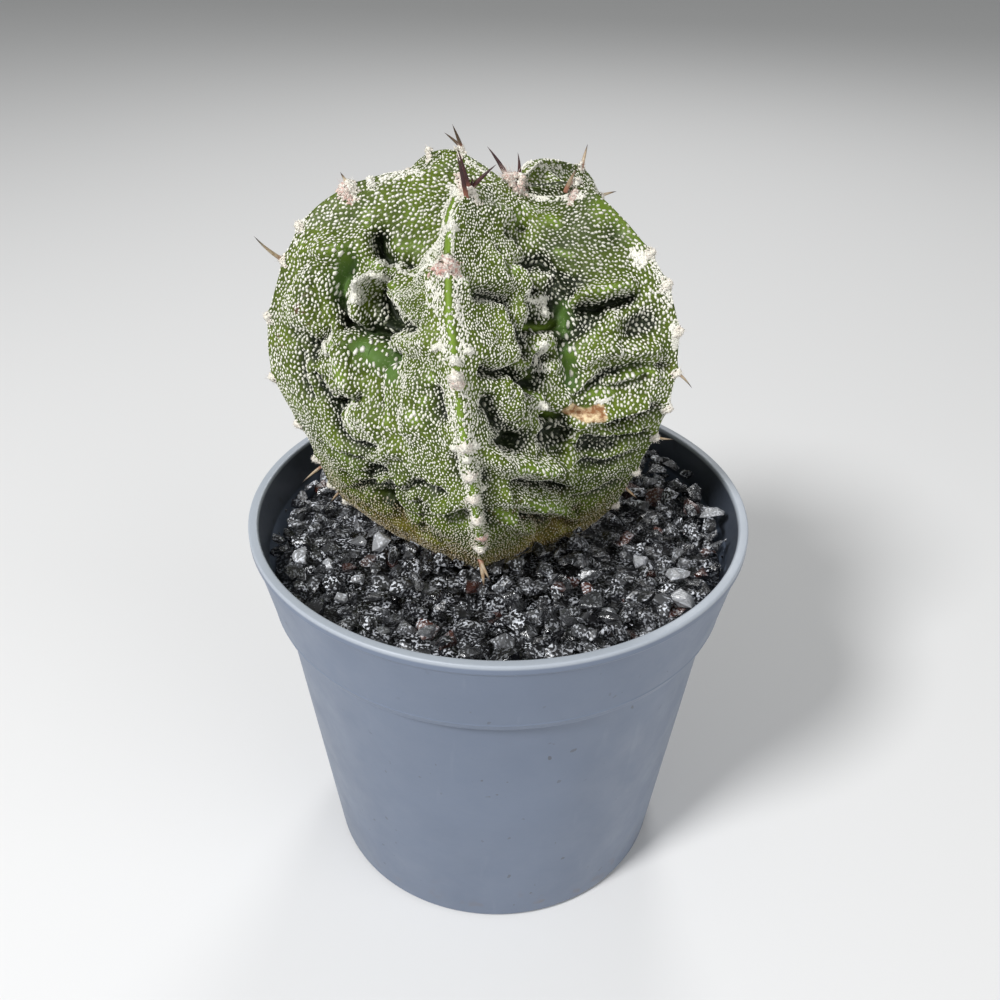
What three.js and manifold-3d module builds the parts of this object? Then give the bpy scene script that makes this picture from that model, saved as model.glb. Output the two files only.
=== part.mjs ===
// A potted bishop's cap cactus of the crested, knobbly kind, in millimetres, +Z up.
// The front is -Y. Azimuths are degrees from the front, growing towards +X.
// Falls are the way down the plant's skin from its crown, in percent of the whole way to its foot.
import * as THREE from 'three';
import { mergeVertices } from 'three/addons/utils/BufferGeometryUtils.js';
import Module from 'manifold-3d';

const wasm = await Module();
wasm.setup();

// Pot: a thin nursery pot with a deep collar
const RIM_RADIUS = 42.5;
const RIM_FACE = 1.5;
const POT_HEIGHT = 71.5;
const LIP_HEIGHT = 1.6;
const LIP_STEP = 0.4;
const COLLAR_FOOT_RADIUS = 39.45;
const COLLAR_FOOT_Z = 55.9;
const BODY_TOP_RADIUS = 38.1;
const BODY_FOOT_RADIUS = 31.9;
const POT_WALL = 1.2;
const POT_EDGE = 0.8;
const FOOT_RING_WIDTH = 3.0;
const FLOOR_UNDERSIDE = 2.2;
const POT_SIDES = 56;
const INNER_CORNER = 0.2;
const DRAIN_RADIUS = 3;
const DRAIN_CIRCLE = 20;
const DRAIN_COUNT = 6;
const DRAIN_SIDES = 12;

// Fill: potting soil below, black grit above, both clear of the pot's wall
const FILL_GAP = 0.45;
const NEIGHBOUR_GAP = 0.3;
const GRIT_UNDERSIDE = 54.9;
const GRIT_LEVEL = 65.9;
const GRIT_SLOPE = 0.046;
const GRIT_MOUND = 1.6;
const GRIT_BELOW_RIM = 1;
const BED_BELOW_LEVEL = 1.3;
const BED_HEIGHT = 6;
const BED_SIDES = 12;
const STONE_PITCH = 4.8;
const STONE_JITTER = 0.35;
const STONE_REACH = [2.1, 3.0];
const STONE_KNOCK = 0.2;
const STONE_LIFT = [-0.9, 0.1];
const STONE_OFF_WALL = 0.6;
const STONE_OFF_STEM = 12;
const STONE_SEED = 4191;

// Cactus: crest and valley meridians as [radius, height], evenly spaced in fall
const CREST = [
  [0, 124], [6.2, 126], [13, 126.9], [19.6, 125], [25.6, 120.7], [30.2, 113.8], [32.8, 106], [33.4, 98],
  [32.4, 90], [30, 82.5], [26.4, 75.5], [21.8, 69], [16.8, 64], [9, 62], [0, 61.5],
];
const VALLEY = [
  [0, 124], [5.4, 122.4], [10.6, 119.2], [15.4, 114.8], [19.4, 110], [22.2, 104.4], [23.8, 98.4],
  [24.3, 92.4], [23.9, 86.6], [22.8, 81], [21.1, 75.6], [18.8, 70], [15.4, 65], [8.5, 62.3], [0, 61.5],
];
// Where the plant's middle lies, from crown to foot, and the sharpness of its ribs
const MIDDLE = [[1, 5], [-2.2, 4.5], [-3.6, 4.2], [-3.8, 4.6], [-3.2, 6.2], [-2.6, 8]];
const RIB_SHARPNESS = 1.45;
// Each rib's azimuth, its turn on the way down, and how far its crest stands out or in
const RIBS = [
  { name: 'front', azimuth: -4, turn: [-10, -8, 0, 5, 6, 6], swell: [0, 0, 0, 0, 0, 0, 0, 0, 0] },
  { name: 'right', azimuth: 66, turn: [0, 0], swell: [0, -1, -2.2, -0.3, -0.8, -1.7, -0.4, 0, 0] },
  { name: 'right back', azimuth: 137, turn: [0, 0], swell: [0, -2.3, -0.3, 0, 0, 0, 0, 0, 0] },
  { name: 'left back', azimuth: 209, turn: [0, 0], swell: [0, 0.8, 0.3, 0, 0, 0, 0, 0, 0] },
  { name: 'left', azimuth: 282, turn: [0, 0], swell: [0, -0.3, 0.8, -0.5, -0.5, -2.1, 0.6, 0.6, 0] },
];
const RIB_COLUMNS = 20;
const SKIN_ROWS = 42;
const CREST_CORD = { width: 1.1, rise: 0.7 };
const NARROWEST_FOLD = 1.6;
const FOLD_CLEAR_OF_CREST = 2.0;
const CROWN_FADE = 0.06;
const FOOT_FADE = 0.16;
const NORMAL_STEP = 0.4;
const WAVER = 0.45;

// Folds of the two flanks that face the front: name, width, rise, path of [azimuth, fall]
const FOLDS = [
  ['left upper pit', 2.0, -2.8, [[-62, 22], [-58, 22]]],
  ['left pit rim', 1.3, 0.9, [[-70, 21], [-65, 24], [-60, 25]]],
  ['left shoulder', 4.2, 1.5, [[-71, 31], [-67, 36]]],
  ['left shoulder cap', 1.9, 1.1, [[-68, 28], [-65, 26]]],
  ['bare crescent', 1.5, -1.6, [[-61, 26], [-61, 29], [-59, 32]]],
  ['crescent foot', 1.2, -1.7, [[-57, 32], [-53, 34]]],
  ['woolly nodule', 1.5, 2.0, [[-58, 28], [-56, 31], [-53, 34]]],
  ['nodule lip', 1.5, 1.5, [[-56, 27], [-56, 24], [-53, 23]]],
  ['crater', 2.8, -3.2, [[-50, 28], [-43, 30]]],
  ['crater mouth', 1.3, -2.2, [[-39, 31], [-28, 32]]],
  ['crater ledge', 1.2, 1.1, [[-52, 35], [-44, 34], [-34, 33]]],
  ['twin lobe left', 1.6, 1.8, [[-49, 22], [-33, 28]]],
  ['twin lobe gap', 0.9, -1.1, [[-44, 21], [-24, 30]]],
  ['twin lobe right', 1.8, 1.9, [[-28, 24], [-17, 32]]],
  ['lobe to rib gap', 1.2, -1.3, [[-15, 28], [-11, 35]]],
  ['lobe foot gap', 1.1, -1.5, [[-34, 30], [-20, 32], [-13, 33]]],
  ['low lobe', 2.3, 1.8, [[-27, 34], [-13, 35]]],
  ['low lobe gap', 1.1, -1.3, [[-24, 36], [-11, 37]]],
  ['cheek', 3.0, 1.8, [[-56, 38], [-52, 38], [-52, 42]]],
  ['cheek edge', 1.0, -1.2, [[-60, 41], [-59, 38], [-55, 35]]],
  ['cheek foot', 1.1, -1.2, [[-57, 42], [-53, 44], [-48, 44]]],
  ['bare hollow', 2.8, -1.2, [[-43, 35], [-29, 39]]],
  ['rib skirt left', 3.0, 1.3, [[-19, 36], [-20, 43], [-20, 49]]],
  ['slit', 0.7, -1.6, [[-52, 46], [-46, 44], [-38, 42]]],
  ['pouch', 3.0, 1.3, [[-44, 46], [-40, 48]]],
  ['pouch side', 0.9, -1.0, [[-51, 47], [-50, 49], [-48, 52]]],
  ['pouch foot', 0.9, -1.0, [[-48, 53], [-30, 50]]],
  ['low fold', 0.9, -1.4, [[-40, 58], [-24, 55]]],
  ['low fold lip', 1.2, 0.8, [[-40, 61], [-26, 58]]],
  ['nick', 0.8, -1.0, [[-57, 69], [-48, 65]]],
  ['foot pit', 1.6, -2.2, [[-44, 69], [-34, 67]]],
  ['foot pit tail', 1.0, -1.1, [[-38, 72], [-29, 73]]],
  ['foot fold', 1.2, -1.3, [[-11, 64], [0, 61]]],
  ['foot fold lip', 1.3, 1.0, [[-10, 61], [-2, 58]]],
  ['rib groove low left', 0.9, -1.2, [[-4, 51], [-4, 54]]],
  ['rib groove left', 1.2, -1.2, [[-9, 42], [-8, 45]]],
  ['right top ridge', 1.4, 1.0, [[14, 9], [18, 13], [28, 16]]],
  ['right top pit', 1.0, -1.3, [[14, 13], [14, 13]]],
  ['right second pit', 1.1, -1.4, [[24, 14], [26, 14]]],
  ['right top gully', 1.1, -1.1, [[6, 17], [5, 26]]],
  ['nose', 2.8, 1.8, [[15, 19], [25, 21]]],
  ['nose pit', 1.7, -2.6, [[31, 18], [33, 20]]],
  ['nose pit tail', 1.4, -1.2, [[35, 22], [39, 25]]],
  ['ledge', 1.6, 2.0, [[-4, 29], [5, 26], [19, 24], [31, 24]]],
  ['under ledge', 1.2, -2.3, [[-4, 31], [4, 29], [17, 26]]],
  ['knob gap left', 1.1, -2.0, [[6, 29], [7, 32], [11, 34]]],
  ['knob a', 1.3, 1.6, [[15, 27], [19, 27]]],
  ['knob a hole', 0.9, -2.4, [[23, 25], [23, 27]]],
  ['knob b', 1.4, 2.1, [[32, 24], [30, 27]]],
  ['knob c', 1.9, 1.6, [[11, 30], [15, 31]]],
  ['knob c gap', 0.9, -1.7, [[17, 31], [25, 28], [32, 29]]],
  ['knob d', 1.6, 1.6, [[23, 30], [31, 30]]],
  ['white knob', 1.3, 2.0, [[23, 32], [27, 33], [28, 39]]],
  ['main pit', 1.8, -3.2, [[23, 34], [20, 36]]],
  ['main pit tail', 1.0, -1.9, [[16, 38], [14, 40]]],
  ['second ledge', 2.1, 1.4, [[-1, 38], [7, 37], [14, 36]]],
  ['under second ledge', 1.0, -1.9, [[-1, 39], [6, 38], [13, 39]]],
  ['rib hollow', 2.1, -2.0, [[2, 42], [4, 45]]],
  ['rib hollow tail', 1.7, -1.8, [[7, 46], [10, 48]]],
  ['warty pad', 3.2, 1.6, [[10, 42], [18, 42]]],
  ['wart', 1.3, 1.5, [[26, 42], [27, 42]]],
  ['wart slit', 0.8, -1.5, [[24, 44], [30, 45]]],
  ['valley hollow', 1.9, -2.0, [[18, 46], [32, 48]]],
  ['bare valley', 2.1, -1.4, [[36, 26], [35, 33], [34, 40]]],
  ['eyebrow', 1.4, 1.8, [[41, 28], [50, 30], [58, 32]]],
  ['under eyebrow', 1.1, -1.9, [[45, 30], [51, 32], [57, 33]]],
  ['right hollow', 2.3, -1.4, [[54, 36], [60, 37]]],
  ['right bar', 1.3, 1.2, [[50, 34], [48, 37]]],
  ['right bar two', 1.5, 1.2, [[45, 37], [52, 39], [60, 42]]],
  ['right groove', 1.2, -1.4, [[45, 39], [53, 41], [62, 44]]],
  ['right fold', 2.1, 1.5, [[37, 42], [48, 44], [59, 46]]],
  ['right fold gap', 1.2, -1.7, [[47, 47], [55, 49], [62, 50]]],
  ['right fold two', 1.4, 1.2, [[40, 48], [48, 50], [58, 51]]],
  ['right gap two', 1.0, -1.4, [[41, 50], [54, 53], [59, 54]]],
  ['right fold three', 1.3, 0.9, [[38, 51], [48, 53], [55, 55]]],
  ['right gap three', 0.9, -1.1, [[43, 54], [52, 56]]],
  ['low bar', 1.9, 1.4, [[5, 51], [14, 52], [27, 54], [36, 57]]],
  ['low bar gap', 1.3, -1.5, [[2, 54], [14, 55], [26, 58]]],
  ['low bar top gap', 1.0, -0.9, [[6, 49], [18, 49]]],
  ['low bar two', 1.6, 1.4, [[9, 57], [19, 60], [38, 67]]],
  ['low gap two', 1.2, -1.4, [[15, 62], [40, 71]]],
  ['low bar three', 1.3, 0.9, [[10, 63], [22, 70]]],
  ['rib foot hollow', 1.4, -1.4, [[3, 58], [5, 64]]],
  ['rib low hollow', 1.3, -1.2, [[3, 52], [4, 55]]],
];
// Folds of the other flanks follow a rule: pairs of a bar and the groove beneath it
const WILD_FLANKS = [[72, 131], [143, 203], [215, 275]];
const WILD_PAIRS = 17;
const WILD_FALLS = [17, 66];
const WILD_REACH = [4, 13];
const WILD_TILT = [-5, 5];
const WILD_WIDTH = [1.2, 2.4];
const WILD_RISE = [1, 2];
const WILD_DROP = [2.5, 4];
const WILD_GROOVE = 0.65;
const WILD_SEED = 77;

// Falls of the areoles, the woolly cushions along each crest, rib by rib, and the few spines on them
const AREOLES = [
  [15.3, 28, 40.4, 49, 53.4, 57.3, 61.6, 69.6],
  [16, 31.5, 35.5, 41.7, 47.5, 53, 58, 65, 73],
  [25, 33, 40, 47, 54, 61, 68, 75],
  [12.5, 22, 30, 38, 45, 52, 59, 66, 73],
  [21.6, 30, 35, 43, 52, 60, 67, 73, 77],
];
const CUSHION = { width: 1.3, rise: 0.6 };
const CROWN_CUSHION = { azimuth: 34, fall: 3.2, width: 1.9, rise: 2.4 };
const SPINE_SIDES = 5;
const SPINE_STEPS = 4;
const SPINE_ROOT = 1.4;
// rib, fall, length, base radius, lean sideways, lean downhill, hook sideways, hook downhill
const SPINES = [
  [0, 16.4, 6.2, 0.32, -0.1, 0, -0.1, 0], [0, 15.1, 6.2, 0.32, -0.18, 0, -0.3, 0],
  [0, 14.2, 4.2, 0.36, 0.8, -0.2, 0.7, -0.1], [0, 14.6, 1.6, 0.3, 0.1, 0, 0.2, 0],
  [0, 28, 1.9, 0.4, -0.5, 0, 0, 0.3],
  [0, 76, 3.6, 0.4, 0.1, 0.1, 0, 0.5], [0, 75, 3.0, 0.34, 0.4, 0, 0.3, 0.4],
  [1, 16, 3.2, 0.42, 0.2, -0.1, 0.4, 0.2], [1, 47.5, 2.4, 0.28, 0.3, 0.3, 0.2, 1.8],
  [1, 58, 2.6, 0.24, 0.2, -0.2, -0.1, -0.6], [1, 69, 2.2, 0.24, -0.3, 0, 0.3, 0.2],
  [2, 25, 2.8, 0.3, 0.1, -0.2, 0, 0.1], [2, 33, 3.2, 0.3, -0.3, 0.3, 0.2, 0.6],
  [2, 47, 2.6, 0.28, 0.4, 0.1, 0, 0.8], [2, 68, 2.4, 0.26, -0.2, 0.4, 0.3, 0.9],
  [3, 12.5, 3.8, 0.3, 0.5, -0.2, 0.3, -0.2], [3, 13.4, 2.4, 0.26, 1.0, 0, 0.4, 0],
  [3, 38, 3.6, 0.32, 0.2, 0.3, -0.4, 0.9], [3, 52, 2.6, 0.28, -0.5, 0.2, 0, 0.8],
  [3, 71, 2.6, 0.26, 0.3, 0.1, 0.2, 0.3],
  [4, 35, 5.2, 0.32, 0.3, -0.2, 0.5, -1.6], [4, 69, 3.6, 0.26, 0.3, 0.1, 0.2, 0.5],
  [4, 75, 1.8, 0.24, 0.2, 0.1, 0.1, 0.2], [4, 21.6, 1.8, 0.34, -0.2, 0, 0.2, 0.2],
];
const CROWN_SPINES = [
  { azimuth: 2, fall: 2.1, length: 5.1, radius: 0.42, lean: [-0.35, 0.3, 0.9], hook: [-1.6, 0, 0] },
  { azimuth: 48, fall: 3.4, length: 4.2, radius: 0.36, lean: [0.25, 0.2, 1], hook: [-1.3, 0, 0] },
];

// Root neck, standing in the soil
const NECK = [[0, 66], [7.5, 66], [6.2, 60], [4.4, 50], [2.6, 40], [0, 38.5]];
const NECK_SIDES = 14;
const PLUG_COLUMNS = 8;
const PLUG_ROWS = 22;
const PLUG_CLEARANCE = 0.55;
const SOIL_HOLE_CLEARANCE = 0.45;

const MATERIALS = {
  pot: { color: 0x76828f, roughness: 0.42, metalness: 0 },
  potting_soil: { color: 0x2b2119, roughness: 0.95, metalness: 0 },
  grit: { color: 0x17181b, roughness: 0.38, metalness: 0 },
  cactus: { color: 0x8fa37a, roughness: 0.72, metalness: 0 },
};

// Numbers drawn from a seed, the same ones on every run
function seededDraw(seed) {
  let state = seed;
  return (low, high) => {
    state = (state * 1664525 + 1013904223) % 4294967296;
    return low + (high - low) * (state / 4294967296);
  };
}

// Closed geometry to solid and back
function solidOf(geometry) {
  const bare = geometry.clone();
  bare.deleteAttribute('normal');
  bare.deleteAttribute('uv');
  const merged = mergeVertices(bare, 1e-4);
  return new wasm.Manifold(new wasm.Mesh({
    numProp: 3,
    vertProperties: Float32Array.from(merged.attributes.position.array),
    triVerts: Uint32Array.from(merged.index.array),
  }));
}

function geometryOf(solid) {
  const mesh = solid.getMesh();
  const geometry = new THREE.BufferGeometry();
  geometry.setAttribute('position', new THREE.BufferAttribute(Float32Array.from(mesh.vertProperties), 3));
  geometry.setIndex(Array.from(mesh.triVerts));
  geometry.computeVertexNormals();
  return geometry;
}

function moveVertices(geometry, place) {
  const position = geometry.attributes.position;
  const point = new THREE.Vector3();
  for (let i = 0; i < position.count; i += 1) {
    place(point.fromBufferAttribute(position, i));
    position.setXYZ(i, point.x, point.y, point.z);
  }
  return geometry;
}

// LatheGeometry turns about Y, and the part stands along Z
function lathe(profile, sides) {
  const points = profile.map(([radius, height]) => new THREE.Vector2(radius, height));
  return new THREE.LatheGeometry(points, sides).rotateX(Math.PI / 2);
}

// The pot's inner wall from its floor to its rim, as [radius, height]
function innerWall() {
  const floorTop = FLOOR_UNDERSIDE + POT_WALL;
  return [
    [BODY_FOOT_RADIUS - POT_WALL - POT_EDGE, floorTop],
    [BODY_FOOT_RADIUS - POT_WALL + INNER_CORNER, floorTop + POT_EDGE],
    [BODY_TOP_RADIUS - POT_WALL, COLLAR_FOOT_Z - POT_WALL],
    [COLLAR_FOOT_RADIUS - POT_WALL, COLLAR_FOOT_Z + POT_WALL / 2],
    [RIM_RADIUS - RIM_FACE - POT_EDGE / 4, POT_HEIGHT - POT_EDGE],
    [RIM_RADIUS - RIM_FACE, POT_HEIGHT],
  ];
}

function wallRadiusAt(height) {
  const wall = innerWall();
  for (let i = 1; i < wall.length; i += 1) {
    const [lowRadius, low] = wall[i - 1];
    const [highRadius, high] = wall[i];
    if (height <= high) return lowRadius + (highRadius - lowRadius) * (height - low) / (high - low);
  }
  return RIM_RADIUS - RIM_FACE;
}

function makePot() {
  const outer = [
    [0, FLOOR_UNDERSIDE],
    [BODY_FOOT_RADIUS - POT_EDGE - FOOT_RING_WIDTH - 1, FLOOR_UNDERSIDE],
    [BODY_FOOT_RADIUS - POT_EDGE - FOOT_RING_WIDTH, 0],
    [BODY_FOOT_RADIUS - POT_EDGE, 0],
    [BODY_FOOT_RADIUS, POT_EDGE],
    [BODY_TOP_RADIUS, COLLAR_FOOT_Z],
    [COLLAR_FOOT_RADIUS, COLLAR_FOOT_Z],
    [RIM_RADIUS - LIP_STEP, POT_HEIGHT - LIP_HEIGHT - LIP_STEP],
    [RIM_RADIUS, POT_HEIGHT - LIP_HEIGHT],
    [RIM_RADIUS, POT_HEIGHT - LIP_STEP / 2],
    [RIM_RADIUS - LIP_STEP / 2, POT_HEIGHT],
  ];
  const profile = [...outer, ...innerWall().reverse(), [0, FLOOR_UNDERSIDE + POT_WALL]];
  let pot = solidOf(lathe(profile, POT_SIDES));
  for (let i = -1; i < DRAIN_COUNT; i += 1) {
    const angle = (2 * Math.PI * i) / DRAIN_COUNT;
    const reach = i < 0 ? 0 : DRAIN_CIRCLE;
    const hole = new THREE.CylinderGeometry(DRAIN_RADIUS, DRAIN_RADIUS, 4 * POT_WALL, DRAIN_SIDES);
    hole.rotateX(Math.PI / 2);
    hole.translate(reach * Math.cos(angle), reach * Math.sin(angle), FLOOR_UNDERSIDE + POT_WALL / 2);
    pot = pot.subtract(solidOf(hole));
  }
  return geometryOf(pot);
}

// The fill's outline between two heights, clear of the wall
function fillProfile(low, high) {
  const between = innerWall().filter(([, height]) => height > low && height < high);
  const outline = [[wallRadiusAt(low), low], ...between, [wallRadiusAt(high), high]];
  return [[0, low], ...outline.map(([radius, height]) => [radius - FILL_GAP, height]), [0, high]];
}

function makeNeck(clearance) {
  return solidOf(lathe(NECK.map(([radius, height], i) => {
    const last = i === NECK.length - 1;
    return [radius > 0 ? radius + clearance : 0, last ? height - clearance : height];
  }).reverse(), NECK_SIDES).translate(MIDDLE.at(-1)[0], MIDDLE.at(-1)[1], 0));
}

function makeSoil() {
  const low = FLOOR_UNDERSIDE + POT_WALL + FILL_GAP;
  const soil = solidOf(lathe(fillProfile(low, GRIT_UNDERSIDE - NEIGHBOUR_GAP), POT_SIDES));
  return geometryOf(soil.subtract(makeNeck(SOIL_HOLE_CLEARANCE)));
}

// The grit's level dips to the left and climbs a little towards the plant
function gritLevel(x, y) {
  return GRIT_LEVEL + GRIT_SLOPE * x + GRIT_MOUND * (1 - Math.hypot(x, y) / RIM_RADIUS);
}

// An angular stone of eight faces, knocked out of true
function makeStone(draw) {
  const octahedron = new THREE.OctahedronGeometry(1);
  octahedron.deleteAttribute('normal');
  octahedron.deleteAttribute('uv');
  const stone = mergeVertices(octahedron);
  moveVertices(stone, (point) => {
    point.x += draw(-STONE_KNOCK, STONE_KNOCK);
    point.y += draw(-STONE_KNOCK, STONE_KNOCK);
    point.z += draw(-STONE_KNOCK, STONE_KNOCK);
  });
  stone.rotateX(draw(0, Math.PI)).rotateY(draw(0, Math.PI));
  stone.scale(draw(...STONE_REACH), draw(...STONE_REACH), draw(...STONE_REACH));
  return stone.rotateZ(draw(0, 2 * Math.PI));
}

function makeGrit(plug) {
  const draw = seededDraw(STONE_SEED);
  const top = POT_HEIGHT - GRIT_BELOW_RIM;
  const bedTop = GRIT_UNDERSIDE + BED_HEIGHT;
  const outline = [[0, GRIT_UNDERSIDE], [POT_HEIGHT, GRIT_UNDERSIDE], [POT_HEIGHT, bedTop], [0, bedTop]];
  const bed = lathe(outline, BED_SIDES);
  moveVertices(bed, (point) => {
    if (point.z > bedTop - BED_HEIGHT / 2) point.z = gritLevel(point.x, point.y) - BED_BELOW_LEVEL;
  });
  const solids = [solidOf(bed)];
  const rowPitch = STONE_PITCH * Math.sqrt(0.75);
  const rows = Math.ceil(RIM_RADIUS / rowPitch);
  for (let row = -rows; row <= rows; row += 1) {
    for (let column = -rows - 2; column <= rows + 2; column += 1) {
      const x = STONE_PITCH * (column + (row % 2 === 0 ? 0 : 0.5)) + draw(-STONE_JITTER, STONE_JITTER);
      const y = rowPitch * row + draw(-STONE_JITTER, STONE_JITTER);
      const lift = draw(...STONE_LIFT) - BED_BELOW_LEVEL;
      const stone = makeStone(draw);
      const inPot = Math.hypot(x, y) < wallRadiusAt(GRIT_LEVEL) - STONE_OFF_WALL;
      const offStem = Math.hypot(x - MIDDLE.at(-1)[0], y - MIDDLE.at(-1)[1]) >= STONE_OFF_STEM;
      if (inPot && offStem) solids.push(solidOf(stone.translate(x, y, gritLevel(x, y) + lift)));
    }
  }
  const space = solidOf(lathe(fillProfile(GRIT_UNDERSIDE, top), POT_SIDES));
  const grit = wasm.Manifold.union(solids).intersect(space).subtract(plug);
  return geometryOf(largestPiece(grit));
}

// Chips that a cut leaves loose are dropped
function largestPiece(solid) {
  return solid.decompose().sort((a, b) => b.volume() - a.volume())[0];
}

// A value along an even list of numbers, smoothly
function along(values, fraction) {
  const curve = new THREE.SplineCurve(values.map((value) => new THREE.Vector2(value, 0)));
  return curve.getPoint(THREE.MathUtils.clamp(fraction, 0, 1)).x;
}

const splineOf = (list) => new THREE.SplineCurve(list.map(([a, b]) => new THREE.Vector2(a, b)));
const crestCurve = splineOf(CREST);
const valleyCurve = splineOf(VALLEY);
const middleCurve = splineOf(MIDDLE);

const crestAzimuth = (rib, fall) => rib.azimuth + along(rib.turn, fall);

// The two ribs on either side of an azimuth, with the share of the way from the first to the second
function ribsAround(azimuth, fall) {
  let behind = null;
  let ahead = null;
  for (const rib of RIBS) {
    const back = THREE.MathUtils.euclideanModulo(azimuth - crestAzimuth(rib, fall), 360);
    const forth = back === 0 ? 360 : 360 - back;
    if (!behind || back < behind.angle) behind = { rib, angle: back };
    if (!ahead || forth < ahead.angle) ahead = { rib, angle: forth };
  }
  return { behind, ahead, share: behind.angle / (behind.angle + ahead.angle) };
}

// The plain body: five ribs, no folds. The fall here runs from 0 to 1
function plainSkin(azimuth, fall) {
  const { behind, ahead, share } = ribsAround(azimuth, fall);
  const crest = crestCurve.getPoint(fall);
  const valley = valleyCurve.getPoint(fall);
  const middle = middleCurve.getPoint(fall);
  const height = Math.abs(1 - 2 * share) ** RIB_SHARPNESS;
  const swell = along((share < 0.5 ? behind : ahead).rib.swell, fall);
  const radius = valley.x + (crest.x - valley.x + swell) * height;
  const angle = THREE.MathUtils.degToRad(azimuth);
  return new THREE.Vector3(
    middle.x + radius * Math.sin(angle),
    middle.y - radius * Math.cos(angle),
    valley.y + (crest.y - valley.y) * height,
  );
}

function skinNormal(azimuth, fall) {
  const down = NORMAL_STEP / 180;
  const around = plainSkin(azimuth + NORMAL_STEP, fall).sub(plainSkin(azimuth - NORMAL_STEP, fall));
  const high = plainSkin(azimuth, Math.max(0, fall - down));
  const up = high.sub(plainSkin(azimuth, Math.min(1, fall + down)));
  return around.cross(up).normalize();
}

// Arc length from a point of the skin to the nearest crest
function wayToCrest(azimuth, fall, point) {
  const { behind, ahead } = ribsAround(azimuth, fall);
  const middle = middleCurve.getPoint(fall);
  const radius = Math.hypot(point.x - middle.x, point.y - middle.y);
  return THREE.MathUtils.degToRad(Math.min(behind.angle, ahead.angle)) * radius;
}

// Bends the straight fold paths, so that none runs like a ruler
function waver(point) {
  const { x, y, z } = point;
  return new THREE.Vector3(
    Math.sin(0.71 * z + 0.43 * y + 1.3) + 0.6 * Math.sin(1.57 * y - 0.9 * z),
    Math.sin(0.83 * x - 0.52 * z + 2.1) + 0.6 * Math.sin(1.39 * z + 1.1 * x),
    Math.sin(0.77 * y + 0.61 * x + 0.4) + 0.6 * Math.sin(1.47 * x - 1.2 * y),
  ).multiplyScalar(WAVER).add(point);
}

function foldPath(path) {
  const points = [];
  for (let i = 0; i < path.length; i += 1) {
    const [azimuth, fall] = path[i];
    points.push(plainSkin(azimuth, fall / 100));
    if (i + 1 < path.length) {
      const [nextAzimuth, nextFall] = path[i + 1];
      points.push(plainSkin((azimuth + nextAzimuth) / 2, (fall + nextFall) / 200));
    }
  }
  return points;
}

function wildFolds() {
  const draw = seededDraw(WILD_SEED);
  const folds = [];
  for (const [low, high] of WILD_FLANKS) {
    for (let i = 0; i < WILD_PAIRS; i += 1) {
      const azimuth = draw(low, high);
      const fall = draw(...WILD_FALLS);
      const reach = draw(...WILD_REACH);
      const tilt = draw(...WILD_TILT);
      const width = draw(...WILD_WIDTH);
      const rise = draw(...WILD_RISE);
      const drop = draw(...WILD_DROP);
      const bar = [[azimuth - reach, fall - tilt], [azimuth + reach, fall + tilt]];
      const groove = bar.map(([around, down]) => [around, down + drop]);
      folds.push(['bar', width, rise, bar]);
      folds.push(['groove', width * WILD_GROOVE, -rise, groove]);
    }
  }
  return folds;
}

const folds = [...FOLDS, ...wildFolds()].map(([, width, rise, path]) => (
  { width: Math.max(width, NARROWEST_FOLD), rise, points: foldPath(path) }
));

function areoles() {
  return RIBS.flatMap((rib, i) => AREOLES[i].map((percent) => {
    const fall = percent / 100;
    return { ...CUSHION, point: plainSkin(crestAzimuth(rib, fall), fall) };
  }));
}

const cushions = [...areoles(), {
  ...CROWN_CUSHION, point: plainSkin(CROWN_CUSHION.azimuth, CROWN_CUSHION.fall / 100),
}];

function distanceToPath(point, path) {
  const line = new THREE.Line3();
  const nearest = new THREE.Vector3();
  let best = point.distanceTo(path[0]);
  for (let i = 1; i < path.length; i += 1) {
    line.set(path[i - 1], path[i]).closestPointToPoint(point, true, nearest);
    best = Math.min(best, nearest.distanceTo(point));
  }
  return best;
}

const bell = (distance, width) => Math.exp(-((distance / width) ** 2));

// How far the skin stands out of the plain body: folds, the cord along each crest, woolly cushions
function rise(azimuth, fall, point) {
  const toCrest = wayToCrest(azimuth, fall, point);
  const wavered = waver(point);
  let flank = 0;
  for (const fold of folds) flank += fold.rise * bell(distanceToPath(wavered, fold.points), fold.width);
  flank *= 1 - bell(toCrest, FOLD_CLEAR_OF_CREST);
  const crown = Math.min(1, fall / CROWN_FADE);
  const foot = Math.min(1, (1 - fall) / FOOT_FADE);
  let total = (flank + CREST_CORD.rise * bell(toCrest, CREST_CORD.width)) * crown * foot;
  for (const cushion of cushions) {
    total += cushion.rise * foot * bell(point.distanceTo(cushion.point), cushion.width);
  }
  return total;
}

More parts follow.
